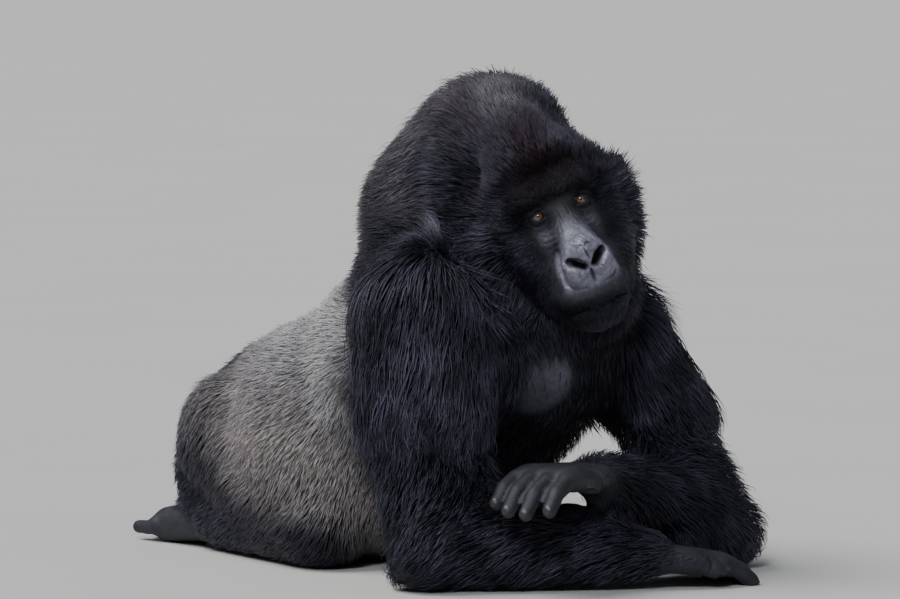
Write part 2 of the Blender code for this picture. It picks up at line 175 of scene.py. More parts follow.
def joined(a, b, blend):
    """The lesser distance, with a fillet of that blend where both are alike."""
    h = np.maximum(blend - np.abs(a - b), 0) / blend
    return np.minimum(a, b) - h * h * blend / 4


def cut_by(a, b, blend):
    """Form a less form b, with a fillet."""
    return -joined(-a, b, blend)


def chain(p, points, radii):
    """Distance to a run of rods through points, each end with its own radius."""
    d = round_end_rod(p, points[0], points[1], radii[0], radii[1])
    for k in range(1, len(points) - 1):
        d = np.minimum(d, round_end_rod(p, points[k], points[k + 1], radii[k], radii[k + 1]))
    return d


# A nostril's middle line, x and z, and its half-width at each point.
NOSTRIL = [((0.0255, -0.0655), 0.0048), ((0.0170, -0.0695), 0.0056), ((0.0085, -0.0780), 0.0036)]


# Egg shapes of the lower face, the same left and right: middle, half-sizes and the fillet that joins them.
LOWER_FACE = [
    ((0.054, -0.068, -0.028), (0.028, 0.026, 0.019), 0.022),  # cheekbone
    ((0.058, -0.040, -0.052), (0.040, 0.056, 0.052), 0.026),  # cheek
    ((0, -0.060, -0.100), (0.078, 0.080, 0.068), 0.030),  # jaw
    ((0, -0.108, -0.096), (0.052, 0.062, 0.050), 0.022),  # muzzle
    ((0, -0.126, -0.120), (0.056, 0.052, 0.031), 0.016),  # upper lip
    ((0, -0.104, -0.160), (0.042, 0.049, 0.026), 0.018),  # chin
]


def face_form(p):
    """Signed distance to the bald head, in the head's own frame: eggs and rods joined with fillets."""
    q = mirrored(p)
    d = egg(q, (0, 0.020, 0.020), (0.106, 0.118, 0.098))
    d = joined(d, egg(q, (0, -0.024, 0.074), (0.070, 0.064, 0.070)), 0.030)
    brow = chain(q, [(0, -0.099, 0.030), (0.028, -0.103, 0.033), (0.052, -0.090, 0.032),
                     (0.073, -0.058, 0.022)],
                 [0.0185, 0.0200, 0.0190, 0.0140])
    d = joined(d, brow, 0.022)
    for centre, radii, fillet in LOWER_FACE:
        d = joined(d, egg(q, centre, radii), fillet)
    d = cut_by(d, egg(q, (0.037, -0.117, 0.005), (0.0215, 0.0185, 0.0160)), 0.012)
    d = joined(d, egg(q, (0.034, -0.096, -0.038), (0.024, 0.022, 0.022)), 0.018)
    bridge = chain(q * (0.74, 1, 1), [(0, -0.097, 0.008), (0, -0.124, -0.028), (0, -0.155, -0.056)],
                   [0.0135, 0.0200, 0.0235])
    d = joined(d, bridge, 0.018)
    pad = joined(egg(q, (0.0190, -0.164, -0.080), (0.0215, 0.0235, 0.0285)),
                 egg(q, (0.0, -0.166, -0.062), (0.0200, 0.0245, 0.0260)), 0.012)
    d = joined(d, pad, 0.010)
    d = joined(d, egg(q, (0, -0.128, -0.1495), (0.044, 0.040, 0.0120)), 0.010)
    lid = np.linalg.norm(q - EYE_SPOT, axis=1) - 0.0138
    return joined(d, lid, 0.004)


def settled_on(p, form, rounds=2, step=0.0008):
    """Points moved onto a form's surface: each round steps by its distance along its own gradient."""
    p = p.copy()
    for _ in range(rounds):
        d = form(p)
        slope = np.stack([form(p + step * axis) - d for axis in np.eye(3)], axis=1)
        p -= 0.9 * np.clip(d, -0.012, 0.012)[:, None] * unit(slope)
    return p


# Digits: place across the knuckles or the ball, counted in finger or toe widths, and length.
FINGERS = ((1.5, 0.090), (0.5, 0.104), (-0.5, 0.100), (-1.5, 0.082))
TOES = ((-1.0, 0.058), (0.0, 0.060), (1.0, 0.056), (2.0, 0.048))


def digit_run(root, along, down, length, radius, curls):
    """A finger's or toe's axis points and radii, thicker at each joint, and its tip's way ahead."""
    along = along / np.linalg.norm(along)
    across = np.cross(along, down)
    across = across / np.linalg.norm(across)
    run, radii, point, heading = [root], [radius], root, along
    for k, curl in enumerate(math.radians(v) for v in curls):
        heading = heading * math.cos(curl) + np.cross(across, heading) * math.sin(curl)
        reach = heading * length / len(curls)
        run += [point + 0.5 * reach, point + reach]
        radii += [radius * (0.93 - 0.09 * k), radius * (0.97 - 0.09 * (k + 1))]
        point = point + reach
    return run, radii, heading


def hand_parts(side):
    """A hand's palm (wrist, knuckles, across, down, width, flatness) and its five digits."""
    wrist, knuckle = ARMS[side][2:]
    sign = 1 if side == "left" else -1
    along = unit(knuckle - wrist)
    thumbward = unit(np.cross(UP, along)) * sign
    down = np.cross(thumbward, along) * sign
    digits = [digit_run(knuckle + thumbward * 0.0302 * place, along + thumbward * 0.06 * place, down, length,
                        0.0152, (8, 22, 26)) for place, length in FINGERS]
    thumb_way = along + thumbward * 0.30 + down * 0.12
    thumb_root = wrist + along * 0.032 + thumbward * 0.040
    digits.append(digit_run(thumb_root, thumb_way, down, 0.062, 0.0140, (0, 12)))
    return (wrist, knuckle, thumbward, down, 0.104, 0.646), digits


def foot_parts(side):
    """A foot's sole, as a hand's palm, and its five toes; it lies on its back, so its down is up."""
    ankle, ball = LEGS[side][2:]
    sign = 1 if side == "left" else -1
    along = unit(ball - ankle)
    outward = unit(np.cross(along, UP)) * sign
    digits = [digit_run(ball + outward * 0.025 * place, along + outward * 0.12 * place, UP, length, 0.0130,
                        (-6, 14)) for place, length in TOES]
    big_toe = ankle + 0.72 * (ball - ankle) - outward * 0.036
    digits.append(digit_run(big_toe, along - outward * 0.62, UP, 0.066, 0.0165, (0, 12)))
    return (ankle, ball, outward, UP, 0.088, 0.95), digits


END_PARTS = {f"{kind}_{side}": parts_of(side)
             for kind, parts_of in (("hand", hand_parts), ("foot", foot_parts))
             for side in SIDES}


def end_form(q, name):
    """Signed distance to a hand or foot: three flat bars side by side, joined to its digits."""
    (start, end, across, down, wide, flat), digits = END_PARTS[name]
    squeezed = q + ((q - start) @ down)[:, None] * down * (1 / flat - 1)
    d = np.full(len(q), 1.0)
    for share in (-0.30, 0.0, 0.30):
        offset = across * wide * share
        far = end + offset
        far = far + ((far - start) @ down) * down * (1 / flat - 1)
        near = start + offset * (0.45 if name.startswith("hand") else 0.0)
        d = joined(d, round_end_rod(squeezed, near, far, 0.034, 0.030), 0.008)
    fingers = np.full(len(q), 1.0)
    for run, radii, _ in digits:
        fingers = joined(fingers, chain(q, run, radii), 0.0022)
    return joined(d, fingers, 0.010)


def from_nail(q):
    """Distance to the middle of the nearest nail, on the back of each digit's tip."""
    least = np.full(len(q), 1.0)
    for (_, _, _, down, _, _), digits in END_PARTS.values():
        for run, radii, heading in digits:
            back = down - heading * (down @ heading)
            spot = run[-1] + heading * radii[-1] * 0.35 - back / np.linalg.norm(back) * radii[-1] * 0.85
            least = np.minimum(least, np.linalg.norm(q - spot, axis=1))
    return least


# ---------------------------------------------------------------- meshes in and out
def mesh_arrays(mesh):
    """A mesh's vertex places and its triangles."""
    points = np.empty(len(mesh.vertices) * 3, np.float32)
    mesh.vertices.foreach_get("co", points)
    mesh.calc_loop_triangles()
    triangles = np.empty(len(mesh.loop_triangles) * 3, np.int32)
    mesh.loop_triangles.foreach_get("vertices", triangles)
    return points.reshape(-1, 3).astype(float), triangles.reshape(-1, 3)


def mesh_object(name, points, faces):
    """A smooth-shaded mesh object at the origin, of triangles or quads all alike."""
    mesh = bpy.data.meshes.new(name)
    corners = faces.shape[1]
    mesh.vertices.add(len(points))
    mesh.vertices.foreach_set("co", np.asarray(points, np.float32).ravel())
    mesh.loops.add(faces.size)
    mesh.loops.foreach_set("vertex_index", faces.astype(np.int32).ravel())
    mesh.polygons.add(len(faces))
    mesh.polygons.foreach_set("loop_start", np.arange(0, faces.size, corners, dtype=np.int32))
    mesh.update(calc_edges=True)
    mesh.shade_smooth()
    piece = bpy.data.objects.new(name, mesh)
    bpy.context.scene.collection.objects.link(piece)
    return piece


def set_attribute(piece, name, values):
    """A number at each vertex, for the materials."""
    layer = piece.data.attributes.new(name, "FLOAT", "POINT")
    layer.data.foreach_set("value", np.asarray(values, np.float32))


def vertex_normals(points, triangles):
    """The mean of the normals of the triangles round each vertex, weighted by area."""
    a, b, c = (points[triangles[:, k]] for k in range(3))
    face = np.cross(b - a, c - a)
    return unit(np.stack([sum(np.bincount(triangles[:, k], face[:, axis], len(points)) for k in range(3))
                          for axis in range(3)], axis=1))


def nearest(points, places):
    """The index of the nearest place to each point, by |a|^2 - 2ab over blocks of points."""
    square = (places * places).sum(1)
    found = [np.argmin(square - 2 * block @ places.T, axis=1) for block in np.array_split(points, 200)]
    return np.concatenate(found)


def evaluated_mesh(piece):
    """A piece's mesh with its modifiers worked in."""
    return bpy.data.meshes.new_from_object(piece.evaluated_get(bpy.context.evaluated_depsgraph_get()))


def three_sides(triangles):
    """The three sides of each triangle as vertex pairs: all first sides, all second, all third."""
    return np.concatenate([triangles[:, [0, 1]], triangles[:, [1, 2]], triangles[:, [2, 0]]])


def sides_of(triangles):
    """Each edge of the triangles once, as vertex pairs."""
    sides = three_sides(triangles)
    many = int(triangles.max()) + 1
    key = np.unique(sides.min(1).astype(np.int64) * many + sides.max(1))
    return np.stack(np.divmod(key, many), axis=1)


# ---------------------------------------------------------------- the skin
def refined(data, triangles, target):
    """Triangles with every edge longer than its target split at the middle; data rows are averaged there.

    A triangle with one, two or three split edges becomes two, three or four, so no gap opens.
    """
    sides = np.sort(three_sides(triangles), axis=1)
    key = sides[:, 0].astype(np.int64) * len(data) + sides[:, 1]
    _, first, which = np.unique(key, return_index=True, return_inverse=True)
    a, b = data[sides[first, 0]], data[sides[first, 1]]
    halfway = (a + b) / 2
    split = np.linalg.norm(a[:, :3] - b[:, :3], axis=1) > target(halfway[:, :3])
    number = np.where(split, len(data) + np.cumsum(split) - 1, -1)
    middles = number[which].reshape(3, -1).T
    order = np.argsort(middles < 0, axis=1, kind="stable")
    count = (middles >= 0).sum(1)
    # Turn each triangle so that its split sides come first: side k runs from corner k to corner k + 1.
    start = np.where(count == 1, order[:, 0], np.where(count == 2, (np.argmin(middles, axis=1) + 1) % 3, 0))
    index = (start[:, None] + np.arange(3)) % 3
    v0, v1, v2 = np.take_along_axis(triangles, index, axis=1).T
    m0, m1, m2 = np.take_along_axis(middles, index, axis=1).T
    pieces = [np.stack([v0, v1, v2], axis=1)[count == 0]]
    patterns = {1: ((v0, m0, v2), (m0, v1, v2)),
                2: ((m0, v1, m1), (v0, m0, v2), (m0, m1, v2)),
                3: ((v0, m0, m2), (m0, v1, m1), (m2, m1, v2), (m0, m1, m2))}
    for number_split, pattern in patterns.items():
        rows = count == number_split
        pieces += [np.stack(corners, axis=1)[rows] for corners in pattern]
    return np.concatenate([data, halfway[split]]), np.concatenate(pieces)


def outline_mesh():
    """The solids run together into one closed surface by a voxel remesh, as points and triangles."""
    bm = bmesh.new()
    for name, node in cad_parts.items():
        if not name.startswith("ear_"):
            bm.from_mesh(node.data)
    bmesh.ops.remove_doubles(bm, verts=bm.verts, dist=1e-5)
    mesh = bpy.data.meshes.new("outline")
    bm.to_mesh(mesh)
    bm.free()
    body = bpy.data.objects.new("outline", mesh)
    bpy.context.scene.collection.objects.link(body)
    remesh = body.modifiers.new("even", "REMESH")
    remesh.mode = "VOXEL"
    remesh.voxel_size = SKIN_VOXEL
    body.data = evaluated_mesh(body)
    body.modifiers.clear()
    points, _ = mesh_arrays(body.data)
    kept = np.zeros(len(points), bool)
    for name in END_PARTS:
        corners, _ = mesh_arrays(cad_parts[name].data)
        kept |= ((points > corners.min(0) - 0.004) & (points < corners.max(0) + 0.004)).all(1)
    body.vertex_groups.new(name="body").add(np.flatnonzero(~kept).tolist(), 1.0, "REPLACE")
    thin = body.modifiers.new("thin", "DECIMATE")
    thin.ratio = SKIN_THINNED
    thin.vertex_group = "body"
    thin.use_collapse_triangulate = True
    points, triangles = mesh_arrays(evaluated_mesh(body))
    bpy.data.objects.remove(body)
    group = np.arange(len(points))
    a, b = sides_of(triangles).T
    for _ in range(60):  # every vertex takes the lowest number in reach, so a loose shell keeps its own
        low = np.minimum(group[a], group[b])
        np.minimum.at(group, a, low)
        np.minimum.at(group, b, low)
        group = group[group]
    main = group == np.bincount(group).argmax()
    renumber = np.cumsum(main) - 1
    return points[main], renumber[triangles[main[triangles].all(1)]]


def node_shares(points, triangles):
    """How far each point belongs to each flesh solid, a column for each: 1 for the nearest, evened out."""
    places, owner = [], []
    for k, name in enumerate(FLESH):
        corners, faces = mesh_arrays(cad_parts[name].data)
        places.append(corners[faces].mean(1))
        owner.append(np.full(len(faces), k))
    found = nearest(points.astype(np.float32), np.concatenate(places).astype(np.float32))
    return spread(np.eye(len(FLESH))[np.concatenate(owner)[found]], sides_of(triangles), 14)


def share_of(shares, *parts):
    """How far each point belongs to these parts, right and left together."""
    return sum(shares[f"{part}_{side}"] for part in parts for side in SIDES)


def face_share(p):
    """1 on the face, in the head's frame, easing to 0 past the temples, the hairline and the chin."""
    ahead = smooth_step(-0.022, -0.060, p[:, 1])
    across = smooth_step(0.102, 0.078, np.abs(p[:, 0]))
    return ahead * across * smooth_step(0.112, 0.080, p[:, 2]) * smooth_step(-0.205, -0.178, p[:, 2])


COAT_DEPTH = {"trunk": 0.016, "neck": 0.026, "upper_arm": 0.024, "forearm": 0.016, "thigh": 0.015,
              "lower_leg": 0.012, "hand": 0.0015, "foot": 0.0015, "head": 0.024}


def coat_depth(p, shares):
    """How deep the skin lies under the coat's outline, by part and by place."""
    by_node = np.array([COAT_DEPTH[n.removesuffix("_right").removesuffix("_left")] for n in FLESH])
    total = shares @ by_node
    q = p - MODEL_PLACE
    trunk = shares[:, FLESH.index("trunk")]
    on_top = trunk * smooth_step(0.30, 0.42, q[:, 2]) * smooth_step(-0.10, 0.05, q[:, 1])
    chest = trunk * smooth_step(-0.20, -0.27, q[:, 1])
    upper = shares[:, FLESH.index("upper_arm_right")] + shares[:, FLESH.index("upper_arm_left")]
    below_hem = upper * smooth_step(0.262, 0.232, q[:, 2])
    return (total - 0.005 * on_top - 0.009 * chest + 0.021 * below_hem) * (1 - face_share(to_head(p)))


def edge_target(points):
    """The longest edge the skin may have: coarse on the body, less on the nails, least round the eyes."""
    p = to_head(points)
    x = np.abs(p[:, 0])
    front = smooth_step(-0.050, -0.075, p[:, 1])
    above_chin = smooth_step(-0.118, -0.112, p[:, 2])
    face = face_share(p) * smooth_step(0.085, 0.055, p[:, 2])
    coarse = 0.0170
    size = coarse - 0.0128 * smooth_step(0.02, 0.5, face)
    eye = smooth_step(0.0230, 0.0190, np.linalg.norm(mirrored(p) - EYE_SPOT, axis=1))
    nose = smooth_step(0.046, 0.042, x) * smooth_step(-0.132, -0.136, p[:, 1])
    nose = nose * above_chin * smooth_step(-0.036, -0.042, p[:, 2])
    mouth = smooth_step(0.060, 0.056, x) * smooth_step(0.013, 0.009, np.abs(p[:, 2] + 0.142))
    creased = smooth_step(0.068, 0.064, x) * above_chin * smooth_step(0.040, 0.034, p[:, 2])
    size = np.minimum(size, coarse - 0.0147 * creased * front)
    size = np.minimum(size, coarse - 0.0154 * (np.maximum(nose, mouth) * front))
    size = np.where(from_nail(points - MODEL_PLACE) < 0.012, 0.0030, size)
    return np.minimum(size, coarse - 0.0157 * eye * front)


# Folds of the face as runs of (x, z) points in the head's frame, with their half-width and depth.
MOUTH = ([(-0.010, -0.1405), (0.020, -0.1410), (0.040, -0.1440), (0.056, -0.1510)], 0.0017, 0.0034)
FOLDS_BOTH_SIDES = [
    # round the nose wing
    ([(0.024, -0.040), (0.033, -0.058), (0.0405, -0.080),
      (0.0395, -0.099), (0.028, -0.1085), (0.012, -0.1110)],
     0.0022, 0.0030),
    # from the wing to the mouth's corner
    ([(0.037, -0.066), (0.046, -0.092), (0.054, -0.112), (0.058, -0.132)], 0.0028, 0.0022),
    MOUTH,
    # six under the eye
    ([(0.018, -0.0085), (0.024, -0.0150), (0.034, -0.0175), (0.046, -0.0110), (0.051, -0.002)],
     0.0014, 0.0024),
    ([(0.016, -0.0140), (0.024, -0.0235), (0.036, -0.0265), (0.048, -0.0190)], 0.0015, 0.0018),
    ([(0.018, -0.0220), (0.028, -0.0325), (0.040, -0.0350), (0.050, -0.0300)], 0.0015, 0.0015),
    ([(0.021, -0.0300), (0.031, -0.0415), (0.044, -0.0460)], 0.0016, 0.0013),
    ([(0.024, -0.0390), (0.034, -0.0520), (0.046, -0.0590)], 0.0017, 0.0011),
    ([(0.027, -0.0480), (0.038, -0.0640), (0.050, -0.0740)], 0.0018, 0.0009),
    # over the upper lid
    ([(0.021, 0.0120), (0.034, 0.0150), (0.047, 0.0100), (0.051, 0.004)], 0.0011, 0.0013),
    ([(0.049, 0.0060), (0.060, 0.0090), (0.068, 0.0050)], 0.0013, 0.0008),  # the eye's outer corner
    ([(0.050, 0.0010), (0.062, -0.0010), (0.070, -0.0060)], 0.0013, 0.0009),
    ([(0.050, -0.0060), (0.060, -0.0120), (0.068, -0.0200)], 0.0013, 0.0008),
    ([(0.011, -0.0040), (0.016, -0.0220), (0.022, -0.0330)], 0.0017, 0.0008),  # beside the bridge
    ([(0.036, -0.118), (0.046, -0.124), (0.054, -0.126)], 0.0020, 0.0006),  # beside the upper lip
]
NOSE_FOLDS = [
    ([(-0.0008, -0.083), (0.0, -0.092), (0.0004, -0.106)], 0.0017, 0.0038),  # below the septum
    ([(-0.0100, -0.0490), (-0.0035, -0.0455), (0.0015, -0.0490)], 0.0014, 0.0007),
    ([(0.0015, -0.0490), (0.0065, -0.0450), (0.0130, -0.0480)], 0.0014, 0.0007),
    ([(0.0005, -0.0500), (0.0012, -0.0580), (0.0025, -0.0690)], 0.0018, 0.0012),
]
FOLDS_ONE_SIDE = NOSE_FOLDS + [
    ([(0.003, -0.0330), (0.010, -0.0400)], 0.0012, 0.0016),
    ([(-0.012, -0.0385), (-0.004, -0.0400)], 0.0012, 0.0014),
    ([(-0.012, -0.0800), (-0.0200, -0.0865), (-0.0190, -0.0950), (-0.0120, -0.0975)], 0.0013, 0.0022),
    ([(0.012, -0.0840), (0.0200, -0.0880), (0.0220, -0.0950)], 0.0013, 0.0018),
    ([(-0.009, 0.0080), (-0.0085, -0.0060), (-0.0070, -0.0160)], 0.0013, 0.0014),  # between the brows
    ([(0.008, 0.0080), (0.0075, -0.0080)], 0.0012, 0.0009),
]


def fold_at(p, run, width, depth):
    """A fold's depth: a bell of the distance, across and up, from its run, shallow at both ends."""
    q = p[:, [0, 2]]
    run = np.array(run)
    lengths = np.linalg.norm(np.diff(run, axis=0), axis=1)
    marks = np.concatenate([[0], np.cumsum(lengths)]) / lengths.sum()
    least, where = np.full(len(p), 1.0), np.zeros(len(p))
    for k, along in enumerate(np.diff(run, axis=0)):
        t = np.clip((q - run[k]) @ along / (along @ along), 0, 1)
        d = np.linalg.norm(q - run[k] - t[:, None] * along, axis=1)
        where = np.where(d < least, marks[k] + t * (marks[k + 1] - marks[k]), where)
        least = np.minimum(d, least)
    return 1.35 * depth * np.exp(-(least / width) ** 2) * np.sqrt(np.clip(4 * where * (1 - where), 0, 1))


def lid_gap(p):
    """How far inside the opening between the lids a point is: least height left to the almond's two arcs."""
    x = np.abs(p[:, 0]) - EYE_SPOT[0]
    z = p[:, 2] - EYE_SPOT[2] - 0.06 * x
    arc = 1 - np.minimum((x / 0.0124) ** 2, 4)
    return np.minimum(0.0065 * arc - z, z + 0.0058 * arc)


def nostril_edge(p):
    """Distance to a nostril's edge as seen from the front, negative inside."""
    flat = np.stack([np.abs(p[:, 0]), np.zeros(len(p)), p[:, 2]], axis=1)
    return chain(flat, [(x, 0, z) for (x, z), _ in NOSTRIL], [half for _, half in NOSTRIL])


def detailed_face(p, normals, share):
    """The face's points with lids opened, nostrils sunk and folds pressed in along the normals.

    Beside each fold a bulge of 0.3 of its depth, 2.6 times as wide, stands up.
    """
    front = share * smooth_step(-0.070, -0.082, p[:, 1])
    one_side = mirrored(p)
    depth = np.zeros(len(p))
    for q, folds in ((one_side, FOLDS_BOTH_SIDES), (p, FOLDS_ONE_SIDE)):
        for run, width, fold in folds:
            depth += fold_at(q, run, width, fold) - 0.3 * fold_at(q, run, 2.6 * width, fold)
    lips = np.exp(-((p[:, 2] + 0.1395) / 0.012) ** 2) * smooth_step(0.055, 0.040, one_side[:, 0])
    depth += 0.0005 * lips * lattice_noise(p * (1, 0.4, 0.12), 0.0022, 51)
    depth += 0.0003 * lattice_noise(p, 0.0045, 52) + 0.0002 * lattice_noise(p, 0.0022, 53)
    from_eye = np.linalg.norm(one_side - EYE_SPOT, axis=1)
    round_eye = smooth_step(0.030, 0.018, from_eye)
    depth += 0.00035 * round_eye * lattice_noise(p * (1, 1, 2.2), 0.0030, 54)
    p = p - normals * (depth * front)[:, None]
    # The lids: their edge thickens a little, and the opening drops behind the eyeball's surface.
    gap = lid_gap(p)
    centre = EYE_SPOT * np.stack([np.sign(p[:, 0]), np.ones(len(p)), np.ones(len(p))], axis=1)
    ray = unit(p - centre)
    near = smooth_step(0.0230, 0.0205, from_eye) * (ray[:, 1] < -0.25)
    open_here = smooth_step(-0.0002, 0.0007, gap) * near
    rim = 0.0004 * np.exp(-((gap + 0.0008) / 0.0010) ** 2) * near * smooth_step(0.018, 0.0155, from_eye)
    reach = np.linalg.norm(p - centre, axis=1)
    p = p + ray * (rim - open_here * np.maximum(reach - 0.0104, 0))[:, None]
    # The nostrils: pits that run back and up from a comma-shaped edge.
    comma = nostril_edge(p)
    hole = smooth_step(0.0034, -0.0030, comma) * smooth_step(-0.146, -0.154, p[:, 1])
    inward = np.stack([-0.12 * np.sign(p[:, 0]), np.full(len(p), 0.93), np.full(len(p), 0.30)], axis=1)
    lip = 0.0009 * np.exp(-((comma - 0.0075) / 0.0030) ** 2) * smooth_step(-0.060, -0.072, p[:, 2])
    dish = 0.0028 * np.exp(-(np.maximum(comma, 0) / 0.0042) ** 2)
    sunk = (dish - lip) * smooth_step(-0.140, -0.154, p[:, 1])
    return p + inward * (0.015 * hole * share)[:, None] + np.array((0, 1, 0)) * (sunk * share)[:, None]


def first_skin():
    """The outline moved in by the coat's depth, evened out.

    Returns its triangles and rows of: place, place on the coat's outline, share of each flesh solid.
    """
    points, triangles = outline_mesh()
    edges = sides_of(triangles)
    points = spread(points, edges, 2, 0.5)
    shares = node_shares(points, triangles)
    normals = unit(spread(vertex_normals(points, triangles), edges, 3))
    inner = points - normals * coat_depth(points, shares)[:, None]
    inner = spread(inner, edges, 4, 0.4)
    share = face_share(to_head(inner))[:, None]
    inner += share * (spread(inner, edges, 14, 0.3) - inner)
    at_ends = shares[:, [k for k, name in enumerate(FLESH) if name in END_PARTS]].sum(1)
    keep = smooth_step(0.3, 0.7, at_ends)[:, None]
    inner = keep * (points - 0.001 * normals) + (1 - keep) * inner
    return np.concatenate([inner, points, shares], axis=1), triangles


def settle_end(q, name, mine, edges, normals):
    """Moves a hand's or foot's points onto its form, in place; lifts nails, evens out wrist or ankle."""
    start, end = END_PARTS[name][0][:2]
    axis = unit(end - start)
    beyond = (q - start) @ axis
    off_axis = np.linalg.norm(q - start - beyond[:, None] * axis, axis=1)
    band = smooth_step(0.30, 0.12, off_axis) * np.exp(-((beyond - 0.006) / 0.026) ** 2)
    band = band * smooth_step(0.0, 0.2, spread(mine, edges, 20))
    mine = mine * smooth_step(0.000, 0.035, beyond)
    chosen = np.flatnonzero(mine > 0.02)
    part, mine = q[chosen], mine[chosen, None]
    renumber = np.full(len(q), -1)
    renumber[chosen] = np.arange(len(chosen))
    inside = renumber[edges]
    inside = inside[(inside >= 0).all(1)]
    for _ in range(3):
        even = spread(part, inside, 1, 0.5)
        part = part + mine * (settled_on(even, lambda v: end_form(v, name)) - part)
    on_nail = smooth_step(0.0088, 0.0070, from_nail(part))
    q[chosen] = part + normals[chosen] * (0.0006 * on_nail * mine[:, 0])[:, None]
    near = edges[(band > 0.01)[edges].any(1)]
    for _ in range(2):
        q += band[:, None] * (spread(q, near, 16, 0.1) - q)


def make_skin():
    """The skin's points, triangles, the place of each point on the coat's outline, and node shares.

    The head's mesh is split finer, evened out and settled on the face's form, over and over; then
    hands and feet are settled, and the folds are pressed in last.
    """
    data, triangles = first_skin()
    for times in (2, 2, 3, 4):
        data, triangles = refined(data, triangles, edge_target)
        edges = sides_of(triangles)
        p = to_head(data[:, :3])
        rows = face_share(p) > 0
        near = edges[rows[edges].any(1)]
        for _ in range(times):
            share = face_share(p[rows])[:, None]
            even = spread(p, near, 2, 0.4)[rows]
            p[rows] += share * (settled_on(even, face_form) - p[rows])
        data[:, :3] = from_head(p)
    q = data[:, :3] - MODEL_PLACE
    normals = vertex_normals(q, triangles)
    shares = dict(zip(FLESH, data[:, 6:].T))
    for name in END_PARTS:
        settle_end(q, name, shares[name], edges, normals)
    q[:, 2] = np.maximum(q[:, 2], FLOOR_GAP)
    p = to_head(q + MODEL_PLACE)
    normals = vertex_normals(p, triangles)
    p[rows] = detailed_face(p[rows], normals[rows], face_share(p[rows]))
    return from_head(p), triangles, data[:, 3:6], shares


# ---------------------------------------------------------------- the coat
CHEST_PATCH = (np.array((-0.038, -0.330, 0.300)), np.array((0.060, 0.080, 0.055)))  # middle, half-sizes


def lie_of_coat(points, normals, shares, edges):
    """The way the hair lies at each point: each part's own direction, laid on the skin and evened out."""
    q = points - MODEL_PLACE
    p = to_head(points)
    flow = np.zeros_like(points)
    head = unit(p - (0, -0.150, -0.030)) + smooth_step(0.06, -0.10, p[:, 2])[:, None] * (0, 0.2, -0.5)
    head += smooth_step(0.02, 0.12, p[:, 1])[:, None] * (0, 0.3, -0.8)
    flow += shares["head"][:, None] * (head @ HEAD_TURN.T)
    behind = smooth_step(-0.25, -0.08, q[:, 1])[:, None]
    flow += shares["neck"][:, None] * (DOWN * (1.0 - 0.35 * behind) + behind * (0, 0.75, 0))
    top = smooth_step(0.22, 0.42, q[:, 2])[:, None]
    chest = smooth_step(-0.20, -0.28, q[:, 1])[:, None]
    trunk = top * (0, 1.0, -0.15) + (1 - top) * (0, 0.50, -0.85)
    flow += shares["trunk"][:, None] * ((1 - chest) * trunk + chest * DOWN)
    for side in SIDES:
        shoulder, elbow, wrist, _ = ARMS[side]
        out = -0.18 if side == "right" else 0.18
        flow += shares["upper_arm_" + side][:, None] * (unit(elbow - shoulder) + (out, 0.10, -0.1))
        lower = unit(elbow - wrist) + 0.55 * DOWN
        flow += (shares["forearm_" + side] + shares["hand_" + side])[:, None] * lower
        hip, knee, ankle, ball = LEGS[side]
        flow += shares["thigh_" + side][:, None] * (0.35 * unit(knee - hip) + (0, 0.25, -0.8))
        flow += shares["lower_leg_" + side][:, None] * (unit(ankle - knee) + 0.5 * DOWN)
        flow += shares["foot_" + side][:, None] * unit(ball - ankle)
    flow = unit(flow - normals * (flow * normals).sum(1, keepdims=True))
    flow = spread(flow, edges, 10)
    return unit(flow - normals * (flow * normals).sum(1, keepdims=True))


def bend_along(points, normals, flow, edges):
    """How fast the skin falls away along the hair, 1/m: each edge's turn of normal over its length."""
    a, b = edges.T
    step = points[b] - points[a]
    length = np.linalg.norm(step, axis=1)
    turned = ((normals[b] - normals[a]) * step).sum(1) / np.maximum(length, 1e-5) ** 2
    total, weight = np.zeros(len(points)), np.full(len(points), 1e-6)
    for end in (a, b):
        along = ((step * flow[end]).sum(1) / np.maximum(length, 1e-5)) ** 2
        total += np.bincount(end, along * turned, len(points))
        weight += np.bincount(end, along, len(points))
    return np.clip(spread(total / weight, edges, 8), -12, 16)


def parting_of(points, flow, edges):
    """1 where the coat's lie runs apart: twice the flow's stretch along each side, from 18 to 50 a metre."""
    a, b = edges.T
    step = points[b] - points[a]
    apart = ((flow[b] - flow[a]) * step).sum(1) / np.maximum((step ** 2).sum(1), 1e-10)
    total = sum(np.bincount(end, apart, len(points)) for end in (a, b))
    count = sum(np.bincount(end, minlength=len(points)) for end in (a, b))
    return smooth_step(18, 50, 2 * spread(total / np.maximum(count, 1), edges, 3))


def grown_hair(p):
    """How long the head's hair is: 0 at the bare face's edge, 1 at full length up, out or back from it."""
    up = (p[:, 2] - 0.036) / 0.120
    out = (np.abs(p[:, 0]) - 0.046) / 0.052
    below = (-0.150 - p[:, 2]) / 0.060
    back = (p[:, 1] + 0.062) / 0.055
    return smooth_step(-0.1, 1.0, np.maximum(np.maximum(up, out), np.maximum(below, back)))


def bare_face(p):
    """1 where the face is bare: round the eyes, the nose and the lips."""
    x = np.abs(p[:, 0])
    wide = 0.047 + 0.012 * np.exp(-((p[:, 2] + 0.125) / 0.030) ** 2)
    wide = wide + 0.006 * np.exp(-((p[:, 2] - 0.002) / 0.012) ** 2)
    bare = smooth_step(wide + 0.010, wide - 0.008, x) * smooth_step(0.026, 0.014, p[:, 2])
    return bare * smooth_step(-0.138, -0.112, p[:, 2]) * smooth_step(-0.045, -0.070, p[:, 1])


def bare_chest(q):
    """1 on the bare patch of the breast, in the model's own frame."""
    return smooth_step(1.15, 0.75, np.linalg.norm((q - CHEST_PATCH[0]) / CHEST_PATCH[1], axis=1))


